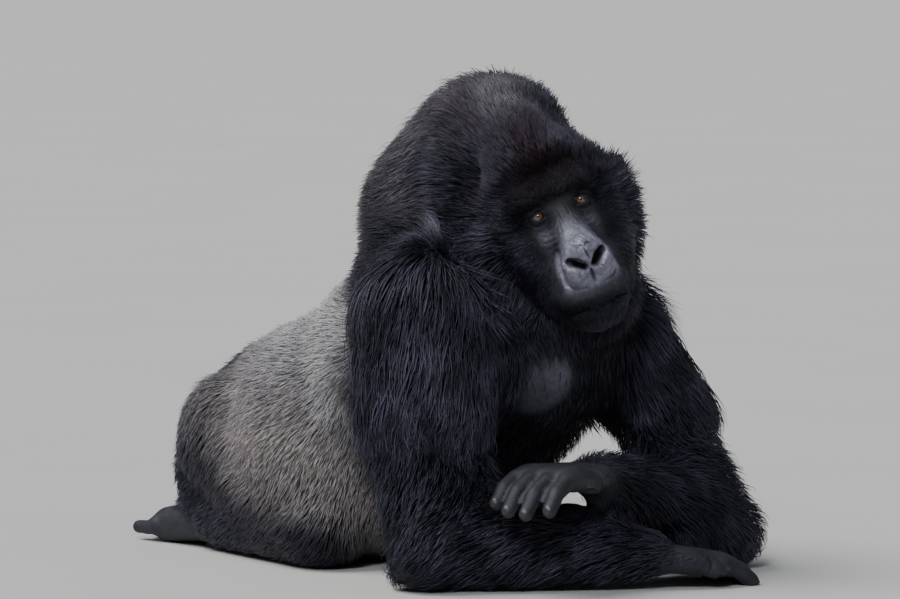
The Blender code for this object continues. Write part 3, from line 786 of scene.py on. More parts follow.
def on_shoulder(q):
    """1 on the trunk's high front, where the shoulder's hair begins, 0 behind and below it."""
    return smooth_step(-0.03, -0.12, q[:, 1]) * smooth_step(0.40, 0.46, q[:, 2])


def coat_fields(points, outer, normals, shares):
    """Length, width and number of the tufts, and how far they stand out, at each point of the skin."""
    q = points - MODEL_PLACE
    p = to_head(points)
    room = np.clip(((outer - points) * normals).sum(1), 0.0, 0.045)
    back = shares["trunk"] * smooth_step(0.30, 0.42, q[:, 2])
    flank = shares["trunk"] - back
    upper, fore, thigh, shin = (share_of(shares, part)
                                for part in ("upper_arm", "forearm", "thigh", "lower_leg"))
    ends, neck, on_head = share_of(shares, "hand", "foot"), shares["neck"], shares["head"]
    crown = on_head * smooth_step(0.05, 0.12, p[:, 2])
    cheek = on_head - crown
    hem = smooth_step(0.240, 0.268, q[:, 2])
    to_hem = np.clip(q[:, 2] - 0.208 + 0.020 * lattice_noise(points, 0.03, 61), 0.028, 0.115)
    length = (0.019 * back + 0.024 * flank + to_hem * upper + 0.042 * fore + 0.034 * thigh
              + 0.032 * shin + 0.013 * ends + 0.040 * crown + 0.038 * cheek + 0.050 * neck)
    length = length + 0.026 * shares["trunk"] * on_shoulder(q)
    far_flank = flank * smooth_step(0.0, 0.08, q[:, 0])
    number = (60e3 * back + 66e3 * flank - 31e3 * far_flank + (60e3 - 18e3 * hem) * upper + 54e3 * fore
              + 65e3 * thigh + 65e3 * shin + 60e3 * ends + 185e3 * crown + 103e3 * cheek + 92e3 * neck)
    width = 0.0017 * (back + flank) + 0.0019 * (thigh + shin + fore) + (0.0018 + 0.0010 * hem) * upper
    width = width + 0.0017 * neck + 0.0014 * (crown + cheek) + 0.0012 * ends
    grown = grown_hair(p)
    brow = smooth_step(0.010, 0.022, p[:, 2])
    length = length * (1 - on_head + on_head * (0.24 + 0.10 * brow + (0.76 - 0.10 * brow) * grown))
    width = width * (1 - on_head + on_head * (0.55 + 0.45 * grown))
    number = number * (1 + on_head * (1 - grown) * (0.6 + 1.4 * brow))
    bare = on_head * bare_face(p)
    room = room * (1 - on_head) + on_head * np.maximum(room, 0.002 + 0.004 * grown)
    chest = shares["trunk"] * smooth_step(-0.22, -0.30, q[:, 1])
    palms = ends * smooth_step(0.2, -0.3, normals[:, 2])
    number = number * (1 - bare) * (1 - 0.55 * chest) * (1 - 0.97 * bare_chest(q)) * (1 - palms)
    joints = [limb[side][2] for limb in (ARMS, LEGS) for side in SIDES]
    reach = np.min([np.linalg.norm(q - wrist, axis=1) for wrist in joints], axis=0)
    number = number * (1 - ends * smooth_step(0.050, 0.090, reach))
    return {"length": length, "number": number, "width": width, "room": room, "long": upper * hem}


def markings(points, shares):
    """The coat's colours as shares at each point: silver saddle, grizzled flank and warm brown over the black
    with its painted bluish sheen; painted sky light and sheen on the crown go into the grizzle and silver
    shares.
    """
    q = points - MODEL_PLACE
    p = to_head(points)
    wander = 0.030 * lattice_noise(points, 0.09, 71) + 0.012 * lattice_noise(points, 0.03, 72)
    trunk, head = shares["trunk"], shares["head"]
    y, z = q[:, 1] + wander, q[:, 2]
    low = smooth_step(0.46, 0.38, z)
    saddle = (smooth_step(-0.13 - 0.06 * low, 0.02 - 0.09 * low, y)
              * smooth_step(0.32, 0.24, y + 0.5 * (0.30 - z)))
    front = smooth_step(0.02, -0.08, y)
    silver = trunk * saddle * smooth_step(0.22 - 0.06 * front, 0.40 - 0.12 * front, z + wander)
    silver = silver * smooth_step(0.52, 0.44, z - 0.5 * y) * (1 - on_shoulder(q))
    flank = trunk * smooth_step(-0.17, -0.04, y) * smooth_step(0.30, 0.20, y)
    flank = flank * (1 - 0.90 * smooth_step(0.38, 0.46, z) * smooth_step(-0.02, -0.10, q[:, 1]))
    flank = flank + 0.60 * share_of(shares, "thigh") * smooth_step(0.14, 0.30, z + wander)
    nape = 0.8 * smooth_step(-0.24, -0.13, y) * smooth_step(0.34, 0.42, z) * (1 - trunk)
    # Painted light: the crown's top is lightened with noise, as if lit by the sky from above; it goes into
    # the grizzle share.
    painted_crown_light = 0.07 * head * smooth_step(0.08, 0.19, p[:, 2]) * (0.6 + 1.2 * lattice_noise(points, 0.05, 73))
    flank = flank + 0.36 * nape + np.clip(painted_crown_light, 0, 1)
    rough = 0.6 + 1.2 * np.clip(0.5 + lattice_noise(points, 0.028, 74), 0, 1)

    def spots(*places):
        return rough * sum(strength * np.exp(-(((p[:, 0] - x) / wide) ** 2 + ((p[:, 2] - up) / high) ** 2))
                           for strength, x, up, wide, high in places)

    warm = spots((1, -0.055, 0.175, 0.030, 0.045), (1, -0.008, 0.105, 0.030, 0.035),
                 (0.8, 0, 0.050, 0.070, 0.022))
    warm = head * np.clip(warm, 0, 1)
    # Painted sheen: light spots on the crown where sky light catches the hair, added to the silver share.
    painted_crown_sheen = spots((1, -0.005, 0.160, 0.032, 0.030), (1, -0.030, 0.195, 0.030, 0.040),
                (0.7, -0.070, 0.245, 0.060, 0.040))
    silver = silver + 0.20 * head * np.clip(painted_crown_sheen, 0, 1) * (1 - 0.7 * warm)
    return {"silver": silver, "grizzle": np.clip(flank - silver, 0, 1), "warm": warm}


def scattered_roots(points, triangles, number, generator):
    """Root places over the skin: one draw at every whole step of the running sum of area times number."""
    a, b, c = (points[triangles[:, k]] for k in range(3))
    area = np.linalg.norm(np.cross(b - a, c - a), axis=1) / 2
    running = np.cumsum(area * number[triangles].mean(1))
    draws = np.arange(0.5, running[-1])
    face = np.minimum(np.searchsorted(running, draws), len(triangles) - 1)
    u, v = generator.random(len(face)), generator.random(len(face))
    flip = u + v > 1
    u, v = np.where(flip, 1 - u, u), np.where(flip, 1 - v, v)
    return face, np.stack([1 - u - v, u, v], axis=1)


def locks_together(roots, flow, size):
    """For each root, the way to its lock's middle: roots in one cell of a shaken lattice share a lock."""
    shaken = roots + 0.45 * size * noise_vectors(roots, 1.7 * size, 81)
    cell = np.floor(shaken / size).astype(np.int64)
    key = cell[:, 0] * 4000037 + cell[:, 1] * 2003 + cell[:, 2]
    _, which = np.unique(key, return_inverse=True)
    count = np.bincount(which)
    middle_of = np.stack([np.bincount(which, roots[:, k]) / count for k in range(3)], axis=1)
    way = middle_of[which] - roots
    return way - flow * (way * flow).sum(1, keepdims=True), which


# By the number of rings in a tuft: where each ring and the tip lie along it, and each ring's width.
RING_SHARES = {2: (0.0, 0.50, 1.0), 3: (0.0, 0.34, 0.70, 1.0), 4: (0.0, 0.26, 0.52, 0.78, 1.0)}
RING_WIDTHS = {2: (0.80, 0.85), 3: (0.75, 1.0, 0.62), 4: (0.70, 1.0, 0.85, 0.50)}
TUFT_LOWEST = 0.0008  # no hair goes below this height over the floor


def tuft_mesh(name, root, normal, flow, length, height, width, bend, pull, wave, phase, rings, generator):
    """Closed three-sided spindles, one for each root, and how far along its tuft each vertex lies.

    A tuft's middle line runs length t along the flow, rises as height (1 - (1 - t)^2), falls with the
    skin by bend s^2 / 2, drifts to its lock's middle as pull t^1.5 and swings aside as
    wave t sin(7 t + phase).
    """
    count = len(root)
    side = np.cross(normal, flow)
    spin = generator.uniform(-0.7, 0.7, count)[:, None]
    across = side * np.cos(spin) + normal * np.sin(spin)
    ridge = normal * np.cos(spin) - side * np.sin(spin)
    points = np.empty((count, 3 * rings + 1, 3))
    along = np.tile(np.repeat(RING_SHARES[rings], [3] * rings + [1]), count)
    curve = generator.uniform(-0.06, 0.06, count)[:, None]
    for k, t in enumerate(RING_SHARES[rings]):
        s = (length * t)[:, None]
        rise = height[:, None] * (1 - (1 - t) ** 2) - 0.0012 * (1 - t) - bend[:, None] * s * s / 2
        line = root + flow * s + normal * rise + pull * t ** 1.5 + side * curve * s * (1 - t)
        swing = (wave * t * np.sin(7 * t + phase))[:, None]
        line = line + side * swing + normal * (0.4 * swing)
        if k == rings:
            points[:, 3 * rings] = line
            break
        w = (width * RING_WIDTHS[rings][k])[:, None]
        points[:, 3 * k] = line + across * w / 2
        points[:, 3 * k + 1] = line - across * w / 2
        points[:, 3 * k + 2] = line + ridge * w * 0.38
    faces = [(0, 2, 1)]
    for k in range(rings - 1):
        for j in range(3):
            a, b = 3 * k + j, 3 * k + (j + 1) % 3
            faces += [(a, b, b + 3), (a, b + 3, a + 3)]
    top = 3 * rings - 3
    faces += [(top, top + 1, top + 3), (top + 1, top + 2, top + 3), (top + 2, top, top + 3)]
    faces = np.array(faces)[:, ::-1]
    all_faces = (np.arange(count)[:, None, None] * (3 * rings + 1) + faces).reshape(-1, 3)
    points = points.reshape(-1, 3)
    points[:, 2] = np.maximum(points[:, 2], TUFT_LOWEST)
    piece = mesh_object(name, points, all_faces)
    set_attribute(piece, "along", along)
    return piece, along


def even_ranks(values):
    """Values replaced by their rank, 0 to 1."""
    ranks = np.empty(len(values))
    ranks[np.argsort(values, kind="stable")] = (np.arange(len(values)) + 0.5) / len(values)
    return ranks


def bake_map(piece, roots, strip, strips, along):
    """The OFBake map: each part of the skin unrolled about its own long axis into a strip of the square.

    Across a strip runs the angle about the axis, up it the height along the axis mixed with the latitude.
    Each tuft is a patch 0.003 across at its root's place.
    """
    u, v = np.zeros(len(roots)), np.zeros(len(roots))
    for k in range(strips):
        rows = strip == k
        if rows.sum() < 3:
            continue
        q = roots[rows] - roots[rows].mean(0)
        axes = np.linalg.svd(q, full_matrices=False)[2] @ q.T
        reach = np.abs(axes[0]).max()
        latitude = np.arctan2(axes[0], np.hypot(axes[1], axes[2]))
        u[rows] = (k + even_ranks(np.arctan2(axes[2], axes[1]))) / strips
        v[rows] = even_ranks(axes[0] / reach + latitude)
    per_tuft = len(along) // len(roots)
    corner = np.tile(np.arange(per_tuft) % 3, len(roots))
    uv = np.stack([np.repeat(u, per_tuft) * 0.99 + 0.001 + 0.0015 * corner,
                   np.repeat(v, per_tuft) * 0.99 + 0.001 + 0.003 * along], axis=1)
    loops = np.empty(len(piece.data.loops), np.int32)
    piece.data.loops.foreach_get("vertex_index", loops)
    layer = piece.data.uv_layers.new(name="OFBake")
    layer.data.foreach_set("uv", uv[loops].astype(np.float32).ravel())


def on_brow(p):
    """The brow's short hair: an oval round its middle, with a ragged edge."""
    ragged = 0.5 * lattice_noise(p, 0.006, 97) + 0.3 * lattice_noise(p, 0.020, 98)
    return ((p[:, 0] / 0.078) ** 2 + ((p[:, 2] - 0.042) / 0.036) ** 2 < 1 + ragged) & (p[:, 1] < -0.03)


# Each coat piece: the skin's parts that it grows on, its material slot, rings in a tuft, and its own share.
COATS = [
    ("coat_crown", ("head",), "brown_black_coat", 2, lambda q, p: (p[:, 2] >= 0.060) & ~on_brow(p)),
    ("coat_cheeks", ("head",), "brown_black_coat", 2, lambda q, p: (p[:, 2] < 0.060) & ~on_brow(p)),
    ("coat_brow", ("head",), "brown_black_coat", 2, lambda q, p: on_brow(p)),
    ("coat_neck", ("neck",), "brown_black_coat", 3, None),
    ("coat_back", ("trunk",), "silver_coat", 2, lambda q, p: q[:, 2] >= 0.340),
    ("coat_flank_right", ("trunk",), "silver_coat", 2, lambda q, p: (q[:, 2] < 0.340) & (q[:, 0] < 0)),
    ("coat_flank_left", ("trunk",), "silver_coat", 2, lambda q, p: (q[:, 2] < 0.340) & (q[:, 0] >= 0)),
]
for side in SIDES:
    COATS += [(f"coat_upper_arm_{side}", (f"upper_arm_{side}",), "black_coat", 4, None),
              (f"coat_forearm_{side}", (f"forearm_{side}", f"hand_{side}"), "black_coat", 3, None)]
COATS += [(f"coat_leg_{side}", tuple(f"{part}_{side}" for part in ("thigh", "lower_leg", "foot")),
           "black_coat", 2, None) for side in SIDES]


def grow_coat(points, triangles, outer, shares):
    """All coat pieces, from the skin's fields sampled at scattered roots."""
    edges = sides_of(triangles)
    normals = vertex_normals(points, triangles)
    smooth_normals = unit(spread(normals, edges, 4))
    flow = lie_of_coat(points, smooth_normals, shares, edges)
    bend = bend_along(points, smooth_normals, flow, edges)
    fields = coat_fields(points, outer, smooth_normals, shares)
    apart = parting_of(points, flow, edges)
    fields["number"] = fields["number"] * (1 + 0.6 * apart)
    owner = np.argmax(np.stack([shares[n] for n in FLESH], axis=1), axis=1)
    generator = np.random.default_rng(7)
    face, mix = scattered_roots(points, triangles, fields["number"], generator)

    def at_roots(values):
        corners = values[triangles[face]]
        return (corners * mix[..., None]).sum(1) if values.ndim == 2 else (corners * mix).sum(1)

    root, normal, lie = at_roots(points), unit(at_roots(smooth_normals)), at_roots(flow)
    lie = lie + 0.22 * noise_vectors(root, 0.045, 91) + 0.20 * noise_vectors(root, 0.014, 94)
    lie = lie + generator.normal(0, 0.07, lie.shape)
    lie = unit(lie - normal * (lie * normal).sum(1, keepdims=True))
    length, width, room, long = (at_roots(fields[k]) for k in ("length", "width", "room", "long"))
    bends, parting = at_roots(bend), at_roots(apart)
    part = owner[triangles[face, np.argmax(mix, axis=1)]]
    root_shares = {n: at_roots(shares[n]) for n in FLESH}
    marks = markings(root, root_shares)
    q, p = root - MODEL_PLACE, to_head(root)
    way, lock = locks_together(root, lie, 0.013)
    long_way, long_lock = locks_together(root, lie, 0.026)
    is_long = long > 0.5
    way = np.where(is_long[:, None], 0.80 * long_way, 0.50 * way)
    lock = np.where(is_long, long_lock + lock.max() + 1, lock)
    of_lock = np.random.default_rng(11).random((lock.max() + 1, 2))[lock]
    patch = np.clip(0.5 + 0.8 * lattice_noise(root, 0.030, 95), 0, 1)
    pieces = []
    for name, parts, slot, rings, chosen in COATS:
        numbers = sorted(FLESH.index(n) for n in parts)
        rows = np.isin(part, numbers)
        if chosen:
            rows &= chosen(q, p)
        rows = np.flatnonzero(rows)
        count = len(rows)
        size = length[rows] * generator.uniform(0.75, 1.2, count)
        height = room[rows] * generator.uniform(0.55, 1.0, count)
        height = np.minimum(height, 0.75 * size)
        stray = generator.random(count) > 0.93
        height = height * (1 + 0.35 * stray)
        wave = 0.05 * size * (0.3 + 0.9 * long[rows]) * generator.uniform(0.5, 1.0, count)
        phase = 6.3 * of_lock[rows, 1] + generator.uniform(-0.5, 0.5, count)
        piece, along = tuft_mesh(name, root[rows], normal[rows], lie[rows], size, height,
                                 width[rows] * generator.uniform(0.6, 1.25, count), bends[rows],
                                 way[rows], wave, phase, rings, generator)
        shade = 0.35 * generator.random(count) + 0.35 * of_lock[rows, 0] + 0.30 * patch[rows]
        # Painted shade: tufts are darkened at partings, and over the eyes, where it stands partly for the
        # brow's dark hair and partly for shade under the brow ridge.
        over_eyes = root_shares["head"][rows] * np.exp(-((p[rows, 2] - 0.036) / 0.026) ** 2)
        shoulder = root_shares["trunk"][rows] * on_shoulder(q[rows])
        shade = shade * (1 - 0.6 * over_eyes) * (1 - 0.55 * shoulder) * (1 - 0.5 * parting[rows])
        for key, values in {**{key: marks[key][rows] for key in marks}, "shade": shade}.items():
            set_attribute(piece, key, np.repeat(values, 3 * rings + 1))
        bake_map(piece, root[rows], np.searchsorted(numbers, part[rows]), len(parts), along)
        pieces.append((piece, slot))
    return pieces


# ---------------------------------------------------------------- eyes and ears
def grid_object(name, points):
    """A closed surface over a grid of points (rows, columns, 3) in the head's frame.

    Quads run between neighbours, the columns close round, and the first and last row get a face.
    """
    rows, columns = points.shape[:2]
    here = np.arange(rows * columns).reshape(rows, columns)
    ahead = np.roll(here, -1, axis=1)
    quads = np.stack([here[:-1], ahead[:-1], ahead[1:], here[1:]], axis=-1).reshape(-1, 4)
    piece = mesh_object(name, from_head(points.reshape(-1, 3)), quads)
    bm = bmesh.new()
    bm.from_mesh(piece.data)
    bmesh.ops.holes_fill(bm, edges=[e for e in bm.edges if e.is_boundary], sides=0)
    bmesh.ops.triangulate(bm, faces=[f for f in bm.faces if len(f.verts) > 4])
    bmesh.ops.recalc_face_normals(bm, faces=bm.faces)
    bm.to_mesh(piece.data)
    bm.free()
    piece.data.shade_smooth()
    return piece


VIEW_AZIMUTH, VIEW_ELEVATION, VIEW_DISTANCE = math.radians(-40), math.radians(4), 7.5
VIEW_LENS, VIEW_SENSOR = 193.3, 36  # millimetres
VIEW_SHIFT = (0.0140, 0.0287)  # how far the camera stands to the right and up from the line to its target
TO_VIEWER = np.array((math.sin(VIEW_AZIMUTH) * math.cos(VIEW_ELEVATION),
                      -math.cos(VIEW_AZIMUTH) * math.cos(VIEW_ELEVATION), math.sin(VIEW_ELEVATION)))
GAZE = unit(TO_VIEWER @ HEAD_TURN)  # both eyes look at the one who looks at them


def make_eye(side):
    """An eyeball turned to its gaze: a sphere in rings round the gaze, with the cornea's low dome in front.

    The dome adds 1.1 mm times (1 - (angle / 0.62)^2)^2 where the angle from the gaze is below 0.62.
    """
    angle = np.linspace(0.02, math.pi - 0.02, 56)[:, None]
    round_it = np.linspace(0, 2 * math.pi, 64, endpoint=False)[None]
    radius = EYE_RADIUS + 0.0011 * np.maximum(1 - (angle / 0.62) ** 2, 0) ** 2
    across = unit(np.cross(GAZE, (0, 0, 1)))
    up = np.cross(across, GAZE)
    ray = (np.cos(angle)[..., None] * GAZE + (np.sin(angle) * np.cos(round_it))[..., None] * across
           + (np.sin(angle) * np.sin(round_it))[..., None] * up)
    piece = grid_object("eyeball_left" if side > 0 else "eyeball_right",
                        EYE_SPOT * (side, 1, 1) + radius[..., None] * ray)
    for name, values in (("from_gaze", angle), ("round_iris", round_it)):
        set_attribute(piece, name, np.broadcast_to(values, ray.shape[:2]).ravel())
    return piece


# An ear's section from the middle of its bowl over the rim and down its back to the root: the share of
# the ear's half-size, and the height outwards.
EAR_SECTION = np.array([
    (0.02, -0.0050), (0.15, -0.0052), (0.28, -0.0046), (0.40, -0.0026), (0.50, -0.0004), (0.58, 0.0010),
    (0.66, 0.0008), (0.74, -0.0006), (0.82, -0.0002), (0.89, 0.0022), (0.95, 0.0036), (0.99, 0.0034),
    (1.01, 0.0018), (1.00, -0.0006), (0.95, -0.0026), (0.84, -0.0042), (0.70, -0.0056), (0.58, -0.0080),
    (0.50, -0.0120), (0.46, -0.0180), (0.44, -0.0260), (0.44, -0.0360)])
EAR_SPOT = np.array((0.1290, 0.0220, 0.0040))
EAR_HALF_WIDTH, EAR_HALF_HEIGHT = 0.0158, 0.0240


def make_ear(side):
    """A small round ear: its section swept about its middle, narrower at the lobe, with a knob in front."""
    angle = np.linspace(0, 2 * math.pi, 56, endpoint=False)[None]
    share, height = EAR_SECTION[:, :1], EAR_SECTION[:, 1:]
    lobe = 1 + 0.08 * np.sin(angle) - 0.24 * np.maximum(-np.sin(angle), 0) ** 2
    behind = 0.5 + 0.5 * np.cos(angle - 0.6)
    inner_ridge = np.exp(-((share - 0.60) / 0.10) ** 2) * (height > -0.003)
    knob = np.exp(-((share - 0.45) / 0.16) ** 2 - ((angle - math.pi) / 0.45) ** 2) * (height > -0.006)
    out = height + 0.0016 * inner_ridge * behind + 0.0045 * knob
    points = np.stack([side * (EAR_SPOT[0] + out),
                       EAR_SPOT[1] + EAR_HALF_WIDTH * share * lobe * np.cos(angle),
                       EAR_SPOT[2] + EAR_HALF_HEIGHT * share * np.sin(angle)], axis=-1)
    piece = grid_object("outer_ear_left" if side > 0 else "outer_ear_right", points)
    set_attribute(piece, "bare", np.ones(len(piece.data.vertices)))
    return piece


# ---------------------------------------------------------------- materials
class Value:
    """A socket in a material; arithmetic on it adds Math nodes."""

    def __init__(self, material, socket):
        self.material = material
        self.socket = socket

    def math(self, operation, *inputs, clamp=False):
        settings = {"operation": operation, "use_clamp": clamp}
        return self.material.node("ShaderNodeMath", settings, dict(enumerate(inputs)))

    def __add__(self, other):
        return self.math("ADD", self, other)

    def __radd__(self, other):
        return self.math("ADD", other, self)

    def __sub__(self, other):
        return self.math("SUBTRACT", self, other)

    def __rsub__(self, other):
        return self.math("SUBTRACT", other, self)

    def __mul__(self, other):
        return self.math("MULTIPLY", self, other)

    def __rmul__(self, other):
        return self.math("MULTIPLY", other, self)

    def or_more(self, other):
        """The larger of the two."""
        return self.math("MAXIMUM", self, other)

    def clamped(self):
        return self.math("ADD", self, 0.0, clamp=True)

    def between(self, low, high):
        """0 below low, 1 above high, smooth between."""
        return self.material.node("ShaderNodeMapRange", {"interpolation_type": "SMOOTHSTEP"},
                                  {"Value": self, "From Min": low, "From Max": high})


class Material:
    """A Principled material; its maths is written with Value, its other nodes come from node()."""

    def __init__(self, name, constants):
        self.data = bpy.data.materials.new(name)
        self.data.use_nodes = True
        self.tree = self.data.node_tree
        self.shader = next(n for n in self.tree.nodes if n.type == "BSDF_PRINCIPLED")
        for socket, value in constants.items():
            self.shader.inputs[socket].default_value = value

    def node(self, kind, settings=None, inputs=None, output=0):
        made = self.tree.nodes.new(kind)
        for name, value in (settings or {}).items():
            setattr(made, name, value)
        for name, value in (inputs or {}).items():
            if isinstance(value, Value):
                self.tree.links.new(value.socket, made.inputs[name])
            else:
                made.inputs[name].default_value = value
        return Value(self, made.outputs[output])

    def attribute(self, name):
        return self.node("ShaderNodeAttribute", {"attribute_name": name}, output="Fac")

    def place(self):
        return self.node("ShaderNodeTexCoord", output="Object")

    def noise(self, size, detail=3.0):
        """Noise of 0 to 1 with features of that size in metres."""
        return self.node("ShaderNodeTexNoise", {},
                         {"Vector": self.place(), "Scale": 1 / size, "Detail": detail})

    def cells(self, size):
        """Distance to the nearest of scattered points, for pores and creases of that size."""
        return self.node("ShaderNodeTexVoronoi", {}, {"Vector": self.place(), "Scale": 1 / size})

    def mix(self, share, a, b):
        colours = {6: a if isinstance(a, Value) else (*a, 1), 7: b if isinstance(b, Value) else (*b, 1)}
        return self.node("ShaderNodeMix", {"data_type": "RGBA"}, {0: share, **colours}, output=2)

    def shaded(self, colour, amount):
        """A colour made lighter or darker by a number."""
        both = self.node("ShaderNodeCombineXYZ", {}, {0: amount, 1: amount, 2: amount})
        return self.node("ShaderNodeVectorMath", {"operation": "MULTIPLY"}, {0: colour, 1: both})

    def bump(self, height, distance, strength):
        return self.node("ShaderNodeBump", {}, {"Height": height, "Distance": distance, "Strength": strength})

    def feed(self, **sockets):
        for name, value in sockets.items():
            self.tree.links.new(value.socket, self.shader.inputs[name.replace("_", " ").title()])


# The coat's colours; the blue-black is a painted bluish sheen of sky light on the black hair.
BLACK = (0.0045, 0.0044, 0.0065)
SHEEN_BLUE_BLACK = (0.0440, 0.0415, 0.0650)
SILVER = (0.520, 0.500, 0.505)
GRIZZLE = (0.400, 0.366, 0.358)
WARM = (0.0190, 0.0080, 0.0085)


def marked_colour(m):
    """The coat's markings, the same on hair and on skin: black with noisy patches of painted bluish sheen,
    warm brown, grizzle and silver.
    """
    patchy = m.noise(0.05)
    # Painted sheen: noise picks patches of the black that turn bluish, as sky light on the hair.
    base = m.mix(patchy.between(0.35, 0.70), BLACK, SHEEN_BLUE_BLACK)
    base = m.mix(m.attribute("warm") * 0.8, base, WARM)
    base = m.mix((m.attribute("grizzle") * (0.75 + 0.5 * patchy)).clamped(), base, GRIZZLE)
    return m.mix(m.attribute("silver"), base, SILVER)


def coat_material(name, roughness, sheen=0.60):
    """Hair: markings, darker at the root, lighter at the tip, each tuft a little different in tone, with
    painted shade at partings and over the eyes.
    """
    m = Material(name, {"Specular IOR Level": sheen, "Specular Tint": (0.76, 0.77, 1.0, 1.0)})
    shade = m.attribute("shade")
    along = m.attribute("along")
    light = (0.22 + 1.15 * along) * (0.20 + 1.60 * shade)
    light = light + m.attribute("silver").or_more(m.attribute("grizzle")) * (0.5 - 0.5 * light)
    m.feed(base_color=m.shaded(marked_colour(m), light),
           roughness=roughness + 0.30 * (1.0 - along) + 0.40 * m.attribute("warm"))
    return m.data


def skin_material():
    """Bare black skin: satin gloss, paler on nose and lip partly as a painted bluish sheen, pored and
    creased, near black as painted shade in nostrils, mouth line and creases; under the coat its markings,
    darkened as painted shade.
    """
    m = Material("bare_black_skin", {"Specular IOR Level": 0.52, "Specular Tint": (0.86, 0.90, 1.0, 1.0)})
    pores = m.cells(0.0016)
    creases = m.noise(0.006, 5.0)
    bare = m.attribute("bare")
    pale = m.attribute("pale")
    base = m.mix(m.noise(0.02).between(0.3, 0.7), (0.008, 0.008, 0.010), (0.019, 0.019, 0.025))
    # Paler bluish skin on the nose: partly its own tone, partly a painted sheen of sky light.
    nose = m.mix(m.noise(0.008, 4.0).between(0.35, 0.65), (0.105, 0.104, 0.140), (0.170, 0.169, 0.222))
    base = m.mix(pale, base, nose)
    base = m.mix(m.attribute("warm_skin"), base, (0.016, 0.009, 0.008))
    # Painted shade: near black in nostrils, mouth line, nose creases and round the lids.
    base = m.mix(m.attribute("hollow_shade"), base, (0.0015, 0.0014, 0.0016))
    base = m.mix(m.attribute("nail"), base, (0.030, 0.026, 0.025))
    # Painted shade: skin under the coat is darkened, to 0.15 of its markings under dark hair and up to 0.5
    # under silver and grizzle.
    under = 0.15 + 0.35 * m.attribute("silver").or_more(m.attribute("grizzle"))
    colour = m.mix(bare, m.shaded(marked_colour(m), under), base)
    glossy = pale.or_more(m.attribute("nail"))
    m.feed(base_color=colour, roughness=0.90 - 0.32 * bare - 0.33 * glossy + 0.10 * creases,
           normal=m.bump(pores * 0.35 + creases, 0.0010, 0.7))
    return m.data


def eye_material():
    """Brown-black white of the eye, amber-brown iris with rays and a dark edge, round pupil, wet gloss."""
    m = Material("eye", {"Coat Weight": 1.0, "Coat Roughness": 0.02, "Specular IOR Level": 0.5})
    turned = m.attribute("from_gaze")
    round_iris = m.attribute("round_iris")
    across = m.node("ShaderNodeCombineXYZ", {}, {0: round_iris * 3.0, 1: turned * 4.0})
    rays = m.node("ShaderNodeTexNoise", {}, {"Vector": across, "Scale": 3.0, "Detail": 4.0})
    iris = m.mix(rays.between(0.3, 0.7), (0.060, 0.028, 0.012), (0.190, 0.100, 0.046))
    iris = m.mix(turned.between(0.38, 0.54), iris, (0.014, 0.007, 0.004))
    white = m.mix(rays, (0.010, 0.007, 0.006), (0.026, 0.016, 0.013))
    colour = m.mix(turned.between(0.50, 0.56), iris, white)
    colour = m.mix(turned.between(0.17, 0.20), (0.001, 0.001, 0.001), colour)
    m.feed(base_color=colour, roughness=0.12 + 0.1 * rays)
    return m.data


def floor_material():
    """Pale matt floor, faintly mottled."""
    m = Material("pale_floor", {"Specular IOR Level": 0.2})
    m.feed(base_color=m.mix(m.noise(0.8), (0.48, 0.48, 0.47), (0.52, 0.516, 0.507)),
           roughness=0.8 + 0.1 * m.noise(0.3))
    return m.data


# ---------------------------------------------------------------- putting it together
def skin_masks(points, shares):
    """The skin's marks at each point: bare, paler (partly a painted sheen), reddish, a nail, or painted shade
    near black in nostrils, mouth line, nose creases and round the lids.
    """
    q, p = points - MODEL_PLACE, to_head(points)
    one_side = mirrored(p)
    x, z = one_side[:, 0], p[:, 2]
    head = shares["head"]
    bare = head * bare_face(p)
    ends = share_of(shares, "hand", "foot")
    # The pale mark on nose, lip and under the eyes is partly the skin's tone and partly a painted sheen; on
    # the chest patch it is the skin's own tone.
    half = 0.012 + 0.030 * smooth_step(-0.005, -0.085, z)
    nose = smooth_step(half + 0.006, half - 0.005, x) * smooth_step(0.000, -0.045, z)
    nose = nose * smooth_step(-0.117, -0.100, z)
    lip = 0.14 * smooth_step(0.052, 0.030, x) * smooth_step(-0.138, -0.120, z)
    lip = lip * smooth_step(-0.100, -0.112, z)
    under_eye = 0.30 * np.exp(-((x - 0.034) / 0.016) ** 2 - ((z + 0.024) / 0.012) ** 2)
    patch = shares["trunk"] * smooth_step(-0.22, -0.30, q[:, 1]) * bare_chest(q)
    pale = np.clip(nose + lip + under_eye, 0, 1) * smooth_step(-0.080, -0.095, p[:, 1]) * head + 0.5 * patch
    front = head * smooth_step(-0.115, -0.135, p[:, 1])
    # Painted shade: the nostrils are darkened, a little less at their outer ends.
    hollow_shade = (front * smooth_step(0.0034, -0.0020, nostril_edge(p))
              * (1 - 0.35 * smooth_step(0.0200, 0.0290, x)))
    near_eye = smooth_step(0.0215, 0.0190, np.linalg.norm(one_side - EYE_SPOT, axis=1))
    lid_rim = smooth_step(-0.0048, -0.0016, lid_gap(p)) * near_eye
    mouth = fold_at(one_side, *MOUTH[:2], 1.0)
    creases = sum(fold_at(p, run, width, 1.0) for run, width, _ in NOSE_FOLDS)
    # The last mark is painted shade: near black in the nostrils, along the mouth line and nose creases, and
    # round the lids.
    return {"bare": np.clip(bare + ends + patch, 0, 1), "pale": np.clip(pale, 0, 1),
            "warm_skin": head * smooth_step(0.010, 0.030, z),
            "nail": smooth_step(0.0082, 0.0070, from_nail(q)),
            "hollow_shade": np.clip(hollow_shade + front * mouth + 0.75 * head * creases + 0.85 * head * lid_rim, 0, 1)}


